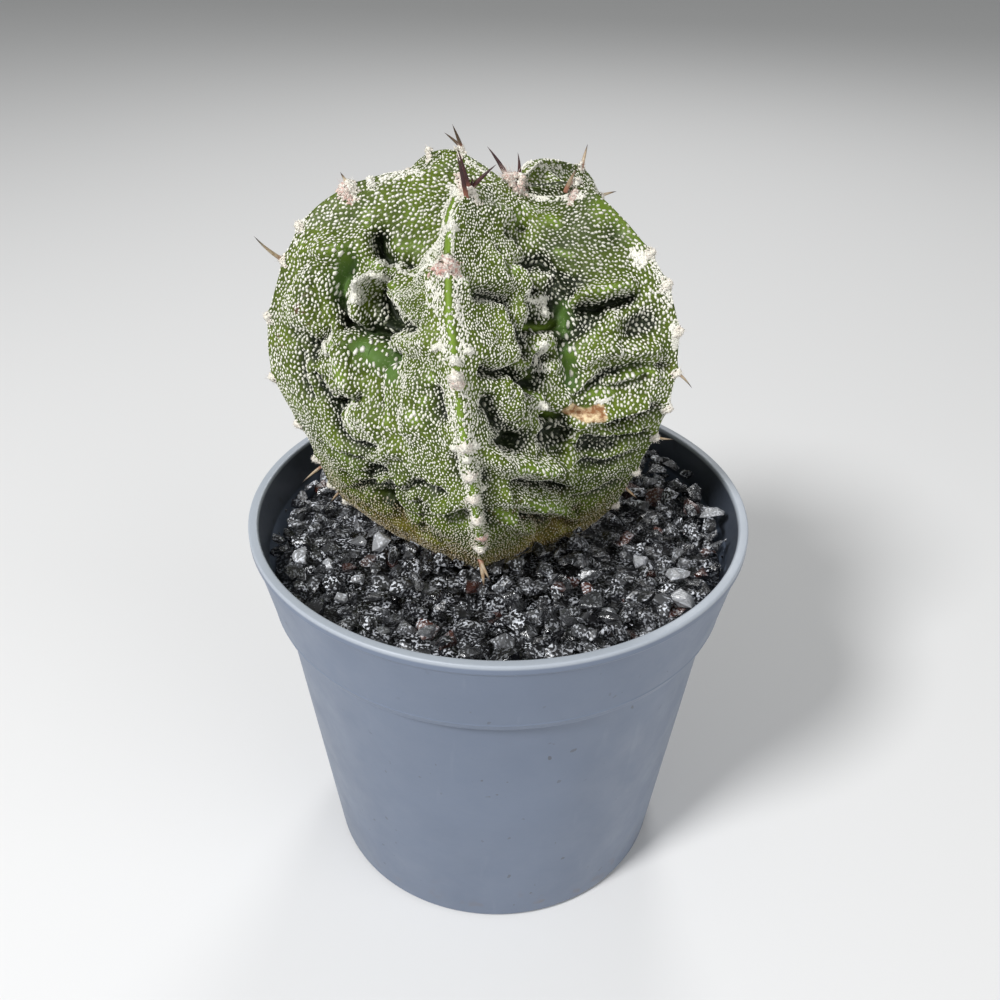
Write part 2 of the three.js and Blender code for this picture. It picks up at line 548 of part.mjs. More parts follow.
// The whole body, from a unit sphere whose columns follow the crests
function makeSkin(columnsPerRib, rows, clearance) {
  const sphere = new THREE.SphereGeometry(1, columnsPerRib * RIBS.length, rows).rotateX(Math.PI / 2);
  sphere.deleteAttribute('normal');
  sphere.deleteAttribute('uv');
  const skin = mergeVertices(sphere, 1e-5);
  return moveVertices(skin, (point) => {
    const fall = Math.acos(THREE.MathUtils.clamp(point.z, -1, 1)) / Math.PI;
    const turns = THREE.MathUtils.euclideanModulo(Math.atan2(point.x, -point.y) / (2 * Math.PI), 1);
    const column = Math.round(turns * RIBS.length * columnsPerRib) / columnsPerRib;
    const first = Math.floor(column) % RIBS.length;
    const start = crestAzimuth(RIBS[first], fall);
    const end = crestAzimuth(RIBS[(first + 1) % RIBS.length], fall);
    const gap = THREE.MathUtils.euclideanModulo(end - start, 360);
    const azimuth = start + gap * (column - Math.floor(column));
    const plain = plainSkin(azimuth, fall);
    const isPole = fall < 1e-3 || fall > 1 - 1e-3;
    const normal = isPole ? new THREE.Vector3(0, 0, fall < 0.5 ? 1 : -1) : skinNormal(azimuth, fall);
    point.copy(plain).addScaledVector(normal, rise(azimuth, fall, plain) + clearance);
  });
}

// A tapered spine of few sides, its root sunk into the cushion
function makeSpine(base, direction, side, length, radius) {
  const cone = new THREE.ConeGeometry(radius, 1, SPINE_SIDES, SPINE_STEPS);
  cone.rotateX(Math.PI / 2).translate(0, 0, 0.5);
  const turn = new THREE.Quaternion().setFromUnitVectors(new THREE.Vector3(0, 0, 1), direction);
  return solidOf(moveVertices(cone, (point) => {
    const way = point.z;
    const across = new THREE.Vector3(point.x, point.y, 0).applyQuaternion(turn);
    point.copy(base).add(across);
    point.addScaledVector(direction, way * (length + SPINE_ROOT) - SPINE_ROOT);
    point.addScaledVector(side, way * way);
  }));
}

function ribSpine([ribIndex, fallPercent, length, radius, sideLean, downLean, sideHook, downHook]) {
  const fall = fallPercent / 100;
  const azimuth = crestAzimuth(RIBS[ribIndex], fall);
  const base = plainSkin(azimuth, fall);
  const down = plainSkin(azimuth, fall + 0.01).sub(base).normalize();
  const angle = THREE.MathUtils.degToRad(azimuth);
  const across = new THREE.Vector3(Math.cos(angle), Math.sin(angle), 0);
  const out = across.clone().cross(down).negate().normalize();
  base.addScaledVector(out, CREST_CORD.rise);
  const direction = out.addScaledVector(across, sideLean).addScaledVector(down, downLean).normalize();
  const hook = across.multiplyScalar(sideHook).addScaledVector(down, downHook);
  return makeSpine(base, direction, hook, length, radius);
}

function crownSpine({ azimuth, fall, length, radius, lean, hook }) {
  const base = plainSkin(azimuth, fall / 100);
  base.z += CROWN_CUSHION.rise / 2;
  const direction = new THREE.Vector3(...lean).normalize();
  return makeSpine(base, direction, new THREE.Vector3(...hook), length, radius);
}

function makeCactus() {
  const body = solidOf(makeSkin(RIB_COLUMNS, SKIN_ROWS, 0));
  const spines = [...SPINES.map(ribSpine), ...CROWN_SPINES.map(crownSpine)];
  return geometryOf(largestPiece(wasm.Manifold.union([body, makeNeck(0), ...spines])));
}

function part(name, geometry) {
  const mesh = new THREE.Mesh(geometry, new THREE.MeshStandardMaterial(MATERIALS[name]));
  mesh.name = name;
  return mesh;
}

const plug = solidOf(makeSkin(PLUG_COLUMNS, PLUG_ROWS, PLUG_CLEARANCE)).add(makeNeck(PLUG_CLEARANCE));
const model = new THREE.Group();
model.name = 'potted_cactus';
model.add(part('pot', makePot()));
model.add(part('potting_soil', makeSoil()));
model.add(part('grit', makeGrit(plug)));
model.add(part('cactus', makeCactus()));

export default model;
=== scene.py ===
"""A potted bishop's cap cactus of the crested, knobbly kind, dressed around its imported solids."""

import itertools
import math

import bmesh
import bpy
import numpy as np
from mathutils import Matrix, Vector, kdtree


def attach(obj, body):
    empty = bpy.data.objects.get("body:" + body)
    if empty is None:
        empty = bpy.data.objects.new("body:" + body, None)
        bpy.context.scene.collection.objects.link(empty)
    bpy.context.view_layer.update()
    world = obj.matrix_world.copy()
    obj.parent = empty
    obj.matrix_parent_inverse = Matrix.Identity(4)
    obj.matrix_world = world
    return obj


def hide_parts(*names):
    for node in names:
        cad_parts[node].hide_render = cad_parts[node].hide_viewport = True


bl_info = {
    "name": "Potted bishop's cap cactus",
    "version": (1, 0, 0),
    "blender": (4, 5, 0),
    "location": "View3D > Sidebar > Cactus",
    "description": "Models and finishes the pot, the black grit and the woolly, folded cactus",
    "category": "Object",
}

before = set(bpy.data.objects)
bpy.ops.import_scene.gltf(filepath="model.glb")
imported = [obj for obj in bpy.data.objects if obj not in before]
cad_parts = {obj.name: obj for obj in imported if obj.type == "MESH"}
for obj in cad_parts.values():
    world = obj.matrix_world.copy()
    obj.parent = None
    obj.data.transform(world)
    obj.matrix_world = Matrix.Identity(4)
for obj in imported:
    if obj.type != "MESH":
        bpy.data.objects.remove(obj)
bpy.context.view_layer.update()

MM = 0.001

# Pot, in millimetres
RIM_RADIUS = 42.5
RIM_FACE = 1.5
POT_HEIGHT = 71.5
LIP_HEIGHT = 1.6
LIP_STEP = 0.4
COLLAR_FOOT_RADIUS = 39.45
COLLAR_FOOT_Z = 55.9
BODY_TOP_RADIUS = 38.1
BODY_FOOT_RADIUS = 31.9
POT_WALL = 1.2
POT_EDGE = 0.8
POT_ROUNDING = 0.35
# How high the raised ring stands above the collar's foot, and from how many degrees an edge stays sharp
COLLAR_RING = 1.3
SHARP_ANGLE = 40
FOOT_RING_WIDTH = 3.0
FLOOR_UNDERSIDE = 2.2
DRAIN_RADIUS = 3.0
DRAIN_CIRCLE = 20.0
DRAIN_COUNT = 6
DRAIN_SIDES = 32

# Grit, in millimetres
GRIT_LEVEL = 65.9
GRIT_SLOPE = 0.046
GRIT_MOUND = 1.6
GRIT_UNDERSIDE = 54.9
FILL_GAP = 0.45
GRIT_DEPTH = 4.2
GRIT_CELL = 0.4
BED_SIDES = 96
# How many stones are dropped, and how many shapes they and the small grains have
STONE_COUNT = 2600
STONE_SHAPES = 9
FINE_SHAPES = 4
# Share of the stones up to each lightness, the last for the rest
TONE_STEPS = [0.55, 0.85, 0.97]
LIGHTNESS = [0.0, 0.05, 0.17, 0.6]
RUSTY_SHARE = 0.07
# How clear the stones keep of the plant's middle and the wall
PLANT_CLEARING = 11
STONE_CLEARING = 0.15
WALL_CLEARING = 0.1
# How far above the grit level a stone may come to rest
HEAP_RISE = 2.0

# Cactus: crest and valley meridians as [radius, height], evenly spaced in fall from crown to foot
CREST = [
    [0, 124], [6.2, 126], [13, 126.9], [19.6, 125], [25.6, 120.7], [30.2, 113.8], [32.8, 106], [33.4, 98],
    [32.4, 90], [30, 82.5], [26.4, 75.5], [21.8, 69], [16.8, 64], [9, 62], [0, 61.5],
]
VALLEY = [
    [0, 124], [5.4, 122.4], [10.6, 119.2], [15.4, 114.8], [19.4, 110], [22.2, 104.4], [23.8, 98.4],
    [24.3, 92.4], [23.9, 86.6], [22.8, 81], [21.1, 75.6], [18.8, 70], [15.4, 65], [8.5, 62.3], [0, 61.5],
]
# The body's middle line, as [x, y], from crown to foot
MIDDLE = [[1, 5], [-2.2, 4.5], [-3.6, 4.2], [-3.8, 4.6], [-3.2, 6.2], [-2.6, 8]]
RIB_SHARPNESS = 1.45
# Each rib's azimuth in degrees from the front, its turn on the way down, and how far its crest stands out
RIB_AZIMUTHS = [-4, 66, 137, 209, 282]
RIB_TURNS = [[-10, -8, 0, 5, 6, 6], [0, 0], [0, 0], [0, 0], [0, 0]]
RIB_SWELLS = [
    [0, 0, 0, 0, 0, 0, 0, 0, 0],
    [0, -1, -2.2, -0.3, -0.8, -1.7, -0.4, 0, 0],
    [0, -2.3, -0.3, 0, 0, 0, 0, 0, 0],
    [0, 0.8, 0.3, 0, 0, 0, 0, 0, 0],
    [0, -0.3, 0.8, -0.5, -0.5, -2.1, 0.6, 0.6, 0],
]
# Columns of each flank, more where the folds are fine, and how the rows share out the fall
FLANK_COLUMNS = [128, 54, 54, 54, 128]
SKIN_ROWS = 236
ROW_SHARES = [0, 0.08, 0.86, 1]
ROW_FALLS = [0, 0.1, 0.74, 1]
# The cord along each crest, and a wider one on the upper half of the front rib, as [width, rise]
CREST_CORD = [1.1, 0.15]
FRONT_CORD = [1.7, 0.5]
# How far beside a crest its outward way is taken, in degrees, and how far it holds, in millimetres
RIDGE_SPAN = 8
RIDGE_REACH = 2.2
# Folds: how deep they all are, the narrowest, how their paths waver, and how clear they keep of a crest
FOLD_DEPTH = 1.75
NARROWEST_FOLD = 0.9
WAVER = 0.25
FOLD_CLEAR_OF_CREST = 2.0
# The waves of that waver: how fast each runs along X, Y and Z, where it starts, and the short ones' share
LONG_WAVES = [[0, 0.43, 0.71], [0.83, 0, -0.52], [0.61, 0.77, 0]]
LONG_STARTS = [1.3, 2.1, 0.4]
SHORT_WAVES = [[0, 1.57, -0.9], [1.1, 0, 1.39], [1.47, -1.2, 0]]
SHORT_SHARE = 0.6
# Strength of the small lumps between the folds, and the lumps as [height, size, seed]
SKIN_LUMPS = 1.15
SMALL_LUMPS = [[0.42, 2.6, 21], [0.22, 1.3, 22]]
# Shares of the fall over which cords and folds die away at the crown and the foot
CROWN_FADE = 0.06
FOOT_FADE = 0.16

# Folds of the two flanks that face the front: name, width, rise, path of [azimuth, fall in percent]
FOLDS = [
    ["left upper pit", 1.25, -2.1, [[-61.8, 21.4], [-58.4, 22.3]]],
    ["left pit rim", 1.1, 0.7, [[-64.4, 23.2], [-58.6, 24.9]]],
    ["left shoulder", 4.2, 1.5, [[-71, 31], [-67, 36]]],
    ["left shoulder cap", 1.9, 1.1, [[-68, 28], [-65, 26]]],
    ["bare crescent", 1.1, -1.5, [[-62.9, 26.5], [-62.3, 29.8], [-60.2, 32.4]]],
    ["crescent foot", 0.8, -1.6, [[-59.1, 32.9], [-56.3, 34.7]]],
    ["woolly nodule", 1.2, 1.5, [[-56.3, 28.2], [-53.9, 30.3], [-52.3, 32.4]]],
    ["nodule lip", 0.9, 1.5, [[-56.6, 27.8], [-55.4, 26.2], [-49.8, 24.6]]],
    ["knob hole", 0.95, -2.2, [[24.6, 34.6], [22.6, 36.6], [18.6, 39.2]]],
    ["crater", 2.1, -0.4, [[-52.6, 28.1], [-48.9, 30.1]]],
    ["crater mouth", 0.6, -1.2, [[-46.7, 26.5], [-43.4, 29], [-38.3, 30]]],
    ["crater ledge", 0.75, -1.8, [[-55.5, 34.9], [-49.2, 33.8], [-42.2, 32.1], [-36.8, 30.5]]],
    ["twin lobe left", 1.3, 1.7, [[-47.3, 22.2], [-20.5, 30.7]]],
    ["twin lobe gap", 0.7, -1.5, [[-47.8, 20.9], [-41.8, 24.9]]],
    ["twin lobe right", 1.4, 1.7, [[-13.4, 27.9], [-10.7, 31.7]]],
    ["lobe to rib gap", 0.8, -1.0, [[-18, 27.4], [-13.6, 32.4]]],
    ["lobe foot gap", 0.7, -1.3, [[-31.4, 31.3], [-14.5, 34.1]]],
    ["low lobe", 1.6, 1.6, [[-18.8, 34.9], [-10.8, 35.7]]],
    ["low lobe gap", 0.9, -1.9, [[-33.2, 35.8], [-26.8, 36.5]]],
    ["cheek", 3.2, 1.4, [[-52, 37.9], [-48.9, 41.2]]],
    ["cheek edge", 0.7, -0.75, [[-62.7, 43.3], [-62.8, 40.4], [-59.8, 37.2]]],
    ["cheek foot", 0.9, -1.2, [[-62.1, 45.5], [-57.6, 47.2]]],
    ["bare hollow", 2.6, 0.5, [[-42.9, 35.2], [-34.8, 38.7]]],
    ["rib skirt left", 2.4, 1.2, [[-15.7, 40.4], [-16.6, 45.8]]],
    ["slit", 0.5, -1.8, [[-54.3, 48.3], [-48.3, 45.8], [-42.7, 43.4]]],
    ["pouch", 3.2, 1.4, [[-41.2, 45.4], [-32, 46.7]]],
    ["pouch side", 0.8, -1.2, [[-54.8, 48.9], [-54.3, 51.7], [-51.8, 54.4]]],
    ["pouch foot", 0.8, -1.2, [[-49.5, 55.1], [-37.1, 53.1]]],
    ["low fold", 0.8, -1.6, [[-46.5, 62.4], [-38.8, 58.1], [-30.5, 58.6]]],
    ["low fold lip", 1.2, 0.8, [[-40, 61], [-26, 58]]],
    ["nick", 0.8, -1.0, [[-57, 69], [-48, 65]]],
    ["foot pit", 1.6, -2.2, [[-44, 69], [-34, 67]]],
    ["foot pit tail", 1.0, -1.1, [[-38, 72], [-29, 73]]],
    ["foot fold", 1.2, -1.3, [[-11, 64], [0, 61]]],
    ["foot fold lip", 1.3, 1.0, [[-10, 61], [-2, 58]]],
    ["rib groove low left", 0.9, -1.2, [[-4, 51], [-4, 54]]],
    ["rib groove left", 1.2, -1.2, [[-9, 42], [-8, 45]]],
    ["right top ridge", 1.3, 0.6, [[-4.8, 14.7], [25.9, 7.4], [45.3, 13.8]]],
    ["right top pit", 0.8, -1.2, [[15.7, 10], [20.5, 11.3]]],
    ["right second pit", 0.6, -0.9, [[10.9, 13.7], [12.3, 14.6]]],
    ["right third pit", 0.55, -0.7, [[20.2, 14.5], [21.4, 15.4]]],
    ["right top gully", 0.8, -1.0, [[6.8, 20.1], [8.5, 23.7]]],
    ["nose", 1.7, 1.0, [[5.8, 21.6], [12.1, 21]]],
    ["nose pit", 0.95, -1.5, [[32.7, 18.1], [34.2, 20]]],
    ["nose pit tail", 0.6, -0.9, [[37.2, 23.4], [41.5, 27.3]]],
    ["ledge", 1.1, 0.9, [[-6.3, 30.2], [1.7, 27.9], [10.4, 25.8], [18.2, 24.5]]],
    ["under ledge", 0.9, -2.1, [[-1.6, 28.9], [4.8, 27.7], [11.8, 26.6]]],
    ["knob gap left", 0.75, -2.0, [[11, 27.7], [11.5, 30.3], [14.2, 31.7], [17.8, 33.2]]],
    ["knob a", 1.1, 0.8, [[9.3, 28.4], [14.6, 27.5]]],
    ["knob a hole", 0.6, -1.4, [[27.5, 23.2], [27.3, 27.5], [20.5, 30.2]]],
    ["knob b", 0.9, 0.9, [[28.3, 24], [28.3, 27.8]]],
    ["knob c", 1.3, 0.8, [[7.7, 31], [10.6, 31.8]]],
    ["knob c gap", 0.55, -1.2, [[17.5, 33.3], [23.1, 30], [30.7, 28.9]]],
    ["knob d", 1.0, 0.6, [[22.3, 30.5], [29.9, 30.3]]],
    ["white knob", 1.0, 0.9, [[20.5, 32], [25.6, 32.6], [28.2, 36.4]]],
    ["main pit", 0.9, -1.7, [[28.1, 34.3], [25.7, 37.5]]],
    ["main pit tail", 0.6, -1.3, [[21.7, 39.3], [17.2, 40.5]]],
    ["second ledge", 2.2, 0.8, [[-3, 36.5], [3, 36.4], [9.7, 36.4]]],
    ["under second ledge", 0.85, -2.0, [[2.8, 38.6], [11, 37.8], [15.4, 39.3]]],
    ["rib hollow", 1.5, -1.5, [[5, 43.3], [7.6, 45.6]]],
    ["rib hollow tail", 1.3, -1.4, [[11.2, 47.1], [14.8, 49.3]]],
    ["warty pad", 2.0, 0.8, [[9, 41.6], [16.6, 41.4]]],
    ["wart", 1.0, 1.0, [[23.6, 42.6]]],
    ["wart slit", 0.8, -1.5, [[24, 44], [30, 45]]],
    ["valley hollow", 1.5, -1.5, [[25.6, 48.1], [33.5, 49.1]]],
    ["bare valley", 1.0, -1.2, [[37.5, 27.6], [36.1, 31.2], [35.7, 34.8], [35.8, 39.7]]],
    ["eyebrow", 1.1, 1.3, [[41, 28.4], [50.2, 29.8], [57.8, 32.1]]],
    ["under eyebrow", 0.9, -1.7, [[43, 30.3], [50.2, 32], [57.7, 33.9]]],
    ["right hollow", 1.9, -1.2, [[55.6, 37.4], [61.2, 38.2]]],
    ["right bar", 1.0, 1.0, [[51.5, 33.5], [49.2, 35.1], [49.7, 37.7]]],
    ["right bar two", 1.1, 0.9, [[40, 37], [48.1, 37.8], [60.1, 41.7]]],
    ["right groove", 0.8, -1.7, [[41.4, 41.7], [47.1, 41.3], [55.4, 43], [63.9, 45.9]]],
    ["right fold", 1.5, 1.0, [[34.7, 41.8], [48.3, 42.5], [59.9, 44.9]]],
    ["right fold gap", 0.8, -2.0, [[49.5, 50.1], [57.4, 51.4], [68.5, 52.8]]],
    ["right fold two", 1.1, 1.0, [[37.5, 47.2], [47.5, 48.2], [58.2, 49.6]]],
    ["right gap two", 0.7, -1.6, [[40.3, 51.3], [52.3, 53.9], [67.3, 57.7]]],
    ["right fold three", 1.0, 0.8, [[36.4, 50.6], [47.3, 52], [57.4, 53.9]]],
    ["right gap three", 0.9, -1.1, [[43, 54], [52, 56]]],
    ["low bar", 1.9, 1.4, [[5, 51], [14, 52], [27, 54], [36, 57]]],
    ["low bar gap", 1.0, -1.8, [[11, 56.2], [24, 58.9], [36.2, 62.9]]],
    ["low bar top gap", 1.0, -0.9, [[6, 49], [18, 49]]],
    ["low bar two", 1.6, 1.4, [[9, 57], [19, 60], [38, 67]]],
    ["low gap two", 0.9, -1.7, [[14.4, 64.3], [30.4, 71.6], [48.2, 76.4]]],
    ["low bar three", 1.3, 0.9, [[10, 63], [22, 70]]],
    ["rib foot hollow", 1.4, -1.4, [[3, 58], [5, 64]]],
    ["rib low hollow", 1.3, -1.2, [[3, 52], [4, 55]]],
    ["lip top lobe", 1.0, 1.2, [[-55.4, 24.3], [-52.1, 23.7]]],
    ["lip top gap", 0.6, -1.2, [[-54.8, 22.1], [-48.9, 25]]],
    ["twin lobe foot", 1.5, 1.2, [[-16.7, 32.6], [-9.2, 33.4]]],
    ["bare hollow edge", 0.8, -1.3, [[-39.7, 33.1], [-33.9, 36.5], [-34, 40.3]]],
    ["pouch gap", 0.7, -1.2, [[-32.5, 42.7], [-31.3, 48.7]]],
    ["right groove two", 0.7, -1.3, [[37, 42], [45.8, 43], [57.7, 45.3]]],
    ["nose low lobe", 1.4, 1.0, [[7, 24.5], [16.2, 22.6]]],
    ["nose crease", 0.5, -0.9, [[10.7, 21], [20.7, 19], [27.6, 17.9]]],
    ["knob b side", 0.5, -0.8, [[34.7, 24.1], [32.4, 29]]],
    ["wart ring", 0.5, -0.9, [[25.4, 42], [27.6, 44.7], [33, 45.8]]],
    ["under eyebrow slope", 1.5, -0.7, [[43.2, 32.1], [48.1, 32.8]]],
    ["shoulder edge", 0.6, -0.9, [[-74.5, 36.7], [-73.4, 34], [-70.6, 31.2], [-66, 29.7]]],
    ["shoulder inner", 0.5, -0.8, [[-66.9, 33.5], [-62.9, 34.4], [-62.7, 36.5]]],
    ["shoulder foot", 0.6, -0.9, [[-70.3, 41.8], [-65.7, 40.4], [-62.4, 40.9]]],
    ["left cheek gap", 0.5, -0.8, [[-66.4, 43.3], [-66.7, 47.7], [-62.6, 49.8]]],
    ["low left arc", 0.7, -1.0, [[-65.3, 60.2], [-55, 59.6], [-43.2, 56.2]]],
    ["low left bar", 1.2, 0.8, [[-52.7, 55.7], [-43, 56.2], [-23.7, 50.8]]],
    ["low left groove", 0.6, -1.0, [[-60.7, 65.8], [-49.7, 66.7], [-33.5, 60.4]]],
    ["low left tail", 0.7, -1.0, [[-31.8, 61.7], [-17.2, 56.9], [-7.8, 58.1]]],
    ["base groove left", 0.6, -0.9, [[-36.8, 67.4], [-39.2, 74.4], [-32.3, 77.4]]],
    ["low mid groove", 0.6, -1.0, [[9.6, 49.3], [21, 51.4], [34.1, 53.1]]],
    ["low right groove", 0.6, -1.0, [[38.4, 56.4], [50.3, 59], [64.5, 60.6]]],
    ["low right groove two", 0.6, -0.9, [[38, 66.3], [51, 66.7], [64.6, 66.6]]],
]
# Folds of the other flanks follow a rule: pairs of a bar and the groove beneath it
WILD_FLANKS = [[72, 131], [143, 203], [215, 275]]
WILD_PAIRS = 17
WILD_FALLS = [17, 66]
# The range of each bar's reach and tilt around the body, width, rise, and the drop to its groove
WILD_RANGES = [[4, 13], [-5, 5], [1.2, 2.4], [1, 2], [2.5, 4]]
GROOVE_SHARE = 0.65
WILD_SEED = 77

# Falls of the areoles, the woolly cushions along each crest, rib by rib
AREOLES = [
    [15.3, 28, 40.4, 49, 53.4, 57.3, 61.6, 69.6],
    [16, 31.5, 35.5, 41.7, 47.5, 53, 58, 65, 73],
    [25, 33, 40, 47, 54, 61, 68, 75],
    [12.5, 22, 30, 38, 45, 52, 59, 66, 73],
    [21.6, 30, 35, 43, 52, 60, 67, 73, 77],
]
# An areole's cushion as [width, rise], and the crown's as [azimuth, fall, width, rise]
CUSHION = [1.3, 0.4]
CROWN_CUSHION = [34, 3.2, 1.9, 2.4]

# Spines: rib, fall, length, base radius, lean sideways, lean downhill, hook sideways, hook downhill
SPINES = [
    [0, 16.4, 6.2, 0.32, -0.1, 0, -0.1, 0], [0, 15.1, 6.2, 0.32, -0.18, 0, -0.3, 0],
    [0, 14.2, 4.2, 0.36, 0.8, -0.2, 0.7, -0.1], [0, 14.6, 1.6, 0.3, 0.1, 0, 0.2, 0],
    [0, 28, 1.9, 0.4, -0.5, 0, 0, 0.3],
    [0, 76, 3.6, 0.4, 0.1, 0.1, 0, 0.5], [0, 75, 3.0, 0.34, 0.4, 0, 0.3, 0.4],
    [1, 47.5, 2.4, 0.28, 0.3, 0.3, 0.2, 1.8],
    [1, 58, 2.6, 0.24, 0.2, -0.2, -0.1, -0.6], [1, 69, 2.2, 0.24, -0.3, 0, 0.3, 0.2],
    [2, 25, 2.8, 0.3, 0.1, -0.2, 0, 0.1], [2, 33, 3.2, 0.3, -0.3, 0.3, 0.2, 0.6],
    [2, 47, 2.6, 0.28, 0.4, 0.1, 0, 0.8], [2, 68, 2.4, 0.26, -0.2, 0.4, 0.3, 0.9],
    [3, 12.5, 3.8, 0.3, 0.5, -0.2, 0.3, -0.2], [3, 13.4, 2.4, 0.26, 1.0, 0, 0.4, 0],
    [3, 38, 3.6, 0.32, 0.2, 0.3, -0.4, 0.9], [3, 52, 2.6, 0.28, -0.5, 0.2, 0, 0.8],
    [3, 71, 2.6, 0.26, 0.3, 0.1, 0.2, 0.3],
    [4, 35, 5.2, 0.32, 0.3, -0.2, 0.5, -1.6], [4, 69, 3.6, 0.26, 0.3, 0.1, 0.2, 0.5],
    [4, 75, 1.8, 0.24, 0.2, 0.1, 0.1, 0.2], [4, 21.6, 1.8, 0.34, -0.2, 0, 0.2, 0.2],
]
# Spines set by azimuth: azimuth, fall, length, base radius, lean, hook, and how old from 0 to 1
CROWN_SPINES = [
    [2, 2.1, 5.1, 0.42, [-0.35, 0.3, 0.9], [-1.6, 0, 0], 0],
    [48, 3.4, 4.2, 0.36, [0.25, 0.2, 1], [-1.3, 0, 0], 0],
    [60.6, 15.3, 2.5, 0.32, [0.3, -0.2, 1], [0.4, 0, 0], 0.8],
]
# How far a spine's root reaches below its seat, how far out the seat lies, how much thicker all are
# drawn, how fast they narrow, and the rings and sides they are made of
SPINE_ROOT = 1.4
SPINE_SEAT = 0.7
SPINE_GIRTH = 1.05
SPINE_TAPER = 2.2
SPINE_RINGS = 15
SPINE_SIDES = 12

# Root neck, as [radius, height], under the grit
NECK = [[0, 66], [7.5, 66], [6.2, 60], [4.4, 50], [2.6, 40], [0, 38.5]]
NECK_SIDES = 32

# Camera: where the eye is, in metres, how far it looks down and how it is turned, in degrees, and its
# focal length and sensor, in millimetres
EYE = [0.000208, -0.147716, 0.167425]
LOOK_DOWN = 33.014
ROLL = 0.89
LENS = 36.594
SENSOR = 36.0

# Where the skin is smooth: path of [azimuth, fall in percent] and how wide
SMOOTH_SKIN = [
    [[[-70, 15], [-30, 17]], 6], [[[48, 18], [60, 27]], 6], [[[-74, 40], [-70, 55]], 4],
    [[[-45, 47], [-38, 49]], 3], [[[-8, 20], [2, 26]], 4],
]
# Stretches of crest that sink: rib, from and to in fall, by how much in millimetres
LOW_CRESTS = [[1, 0.01, 0.22, 1.7], [2, 0.02, 0.3, 1.0], [3, 0.02, 0.3, 0.8]]
# Flecks: random spots they are picked from, their shapes and sides, and half width as a share of spacing
FLECK_SPOTS = 380000
FLECK_SHAPES = 5
FLECK_SIDES = 5
FLECK_SHARE = 0.51
# Locks of felt to a square millimetre, and hairs as thick as this
FELT_LOCKS = 34
HAIR_RADIUS = 0.03
# Length of a rib from crown to foot, in millimetres, for sizes given along the fall
RIB_LENGTH = 130
# Painted shade on the inner wall above the grit: between which radii it ends and from which height, in
# metres
INNER_WALL_SHADE = [0.04085, 0.04105, 0.0645]
# Painted highlight on the pot's top face: from which height, in metres
RIM_HIGHLIGHT = [0.0707, 0.0711]
# Bare skin, cork and stains: path of [azimuth, fall in percent] and how wide
BARE_SKIN = [
    [[[-64, 26.8], [-63, 29], [-61, 31.5]], 1.3], [[[-47, 35.4], [-38, 36], [-27, 38.6]], 1.7],
    [[[37.3, 27.9], [36.1, 31.2]], 0.9], [[[35.7, 34.8], [36.1, 39.8]], 1.1],
]
# Bright bare patches along the front rib's crest
CREST_GREEN = [
    [[[-60.4, 10.1], [-54.4, 11.5], [-47, 13.1]], 0.6], [[[-12, 23.5], [-10.2, 26.1]], 0.75],
    [[[-8.6, 29.6], [-7, 33]], 0.42], [[[-6.8, 33.4], [-4.9, 37.6]], 0.55],
    [[[-3.6, 39.2], [-3.5, 39.4]], 0.3], [[[-3, 43.2], [-2.4, 45.6]], 0.42],
    [[[-1.9, 46.8], [-1.1, 49.6]], 0.5], [[[0.5, 55], [0.6, 56]], 0.42], [[[1, 59.2], [1.1, 60.4]], 0.42],
    [[[1.4, 62.6], [1.9, 67.4]], 0.5], [[[2.1, 69], [2.2, 70.4]], 0.4],
]
CORK = [[[[35, 44], [39, 45.6], [44, 46.6]], 1.35]]
STAINS = [
    [[[-67, 37], [-66, 38]], 2.2], [[[-75, 44], [-74, 46]], 1.6], [[[60, 40], [60, 50]], 3.0],
    [[[10, 62], [40, 70]], 4.0],
]
# Where the flecks crowd: path, width, and by how much they close up
THICK_FLECKS = [
    [[[8, 22], [16, 29], [19, 38]], 5.0, 0.2], [[[-58, 29], [-55, 30]], 1.2, 0.5],
    [[[-58, 25], [-50, 24]], 1.0, 0.5], [[[27, 32], [27, 34]], 1.1, 0.5], [[[27, 42], [28, 42]], 0.9, 0.4],
    [[[-60, 38], [-59, 39]], 1.0, 0.5], [[[-25, 22], [-15, 34]], 3.5, 0.2],
]
# Wool along crests: rib, from, to, how far aside of the crest line and half size in millimetres
CREST_WOOL = [
    [0, 0.285, 0.385, -1.05, 0.3], [0, 0.285, 0.385, 1, 0.3], [0, 0.41, 0.5, -0.95, 0.26],
    [0, 0.41, 0.5, 0.95, 0.26], [0, 0.5, 0.7, -0.85, 0.2], [0, 0.5, 0.7, 0.9, 0.2],
    [1, 0.31, 0.38, -0.3, 0.3], [1, 0.31, 0.38, 0.3, 0.3],
    [1, 0.4, 0.435, 0, 0.32], [1, 0.51, 0.54, 0, 0.3],
    [4, 0.127, 0.18, -0.2, 0.28], [4, 0.127, 0.18, 0.3, 0.3], [4, 0.285, 0.32, 0, 0.32],
    [3, 0.05, 0.11, -0.6, 0.32], [3, 0.05, 0.11, 0.6, 0.32],
    [2, 0.13, 0.2, -0.8, 0.32], [2, 0.05, 0.12, 0, 0.32],
]
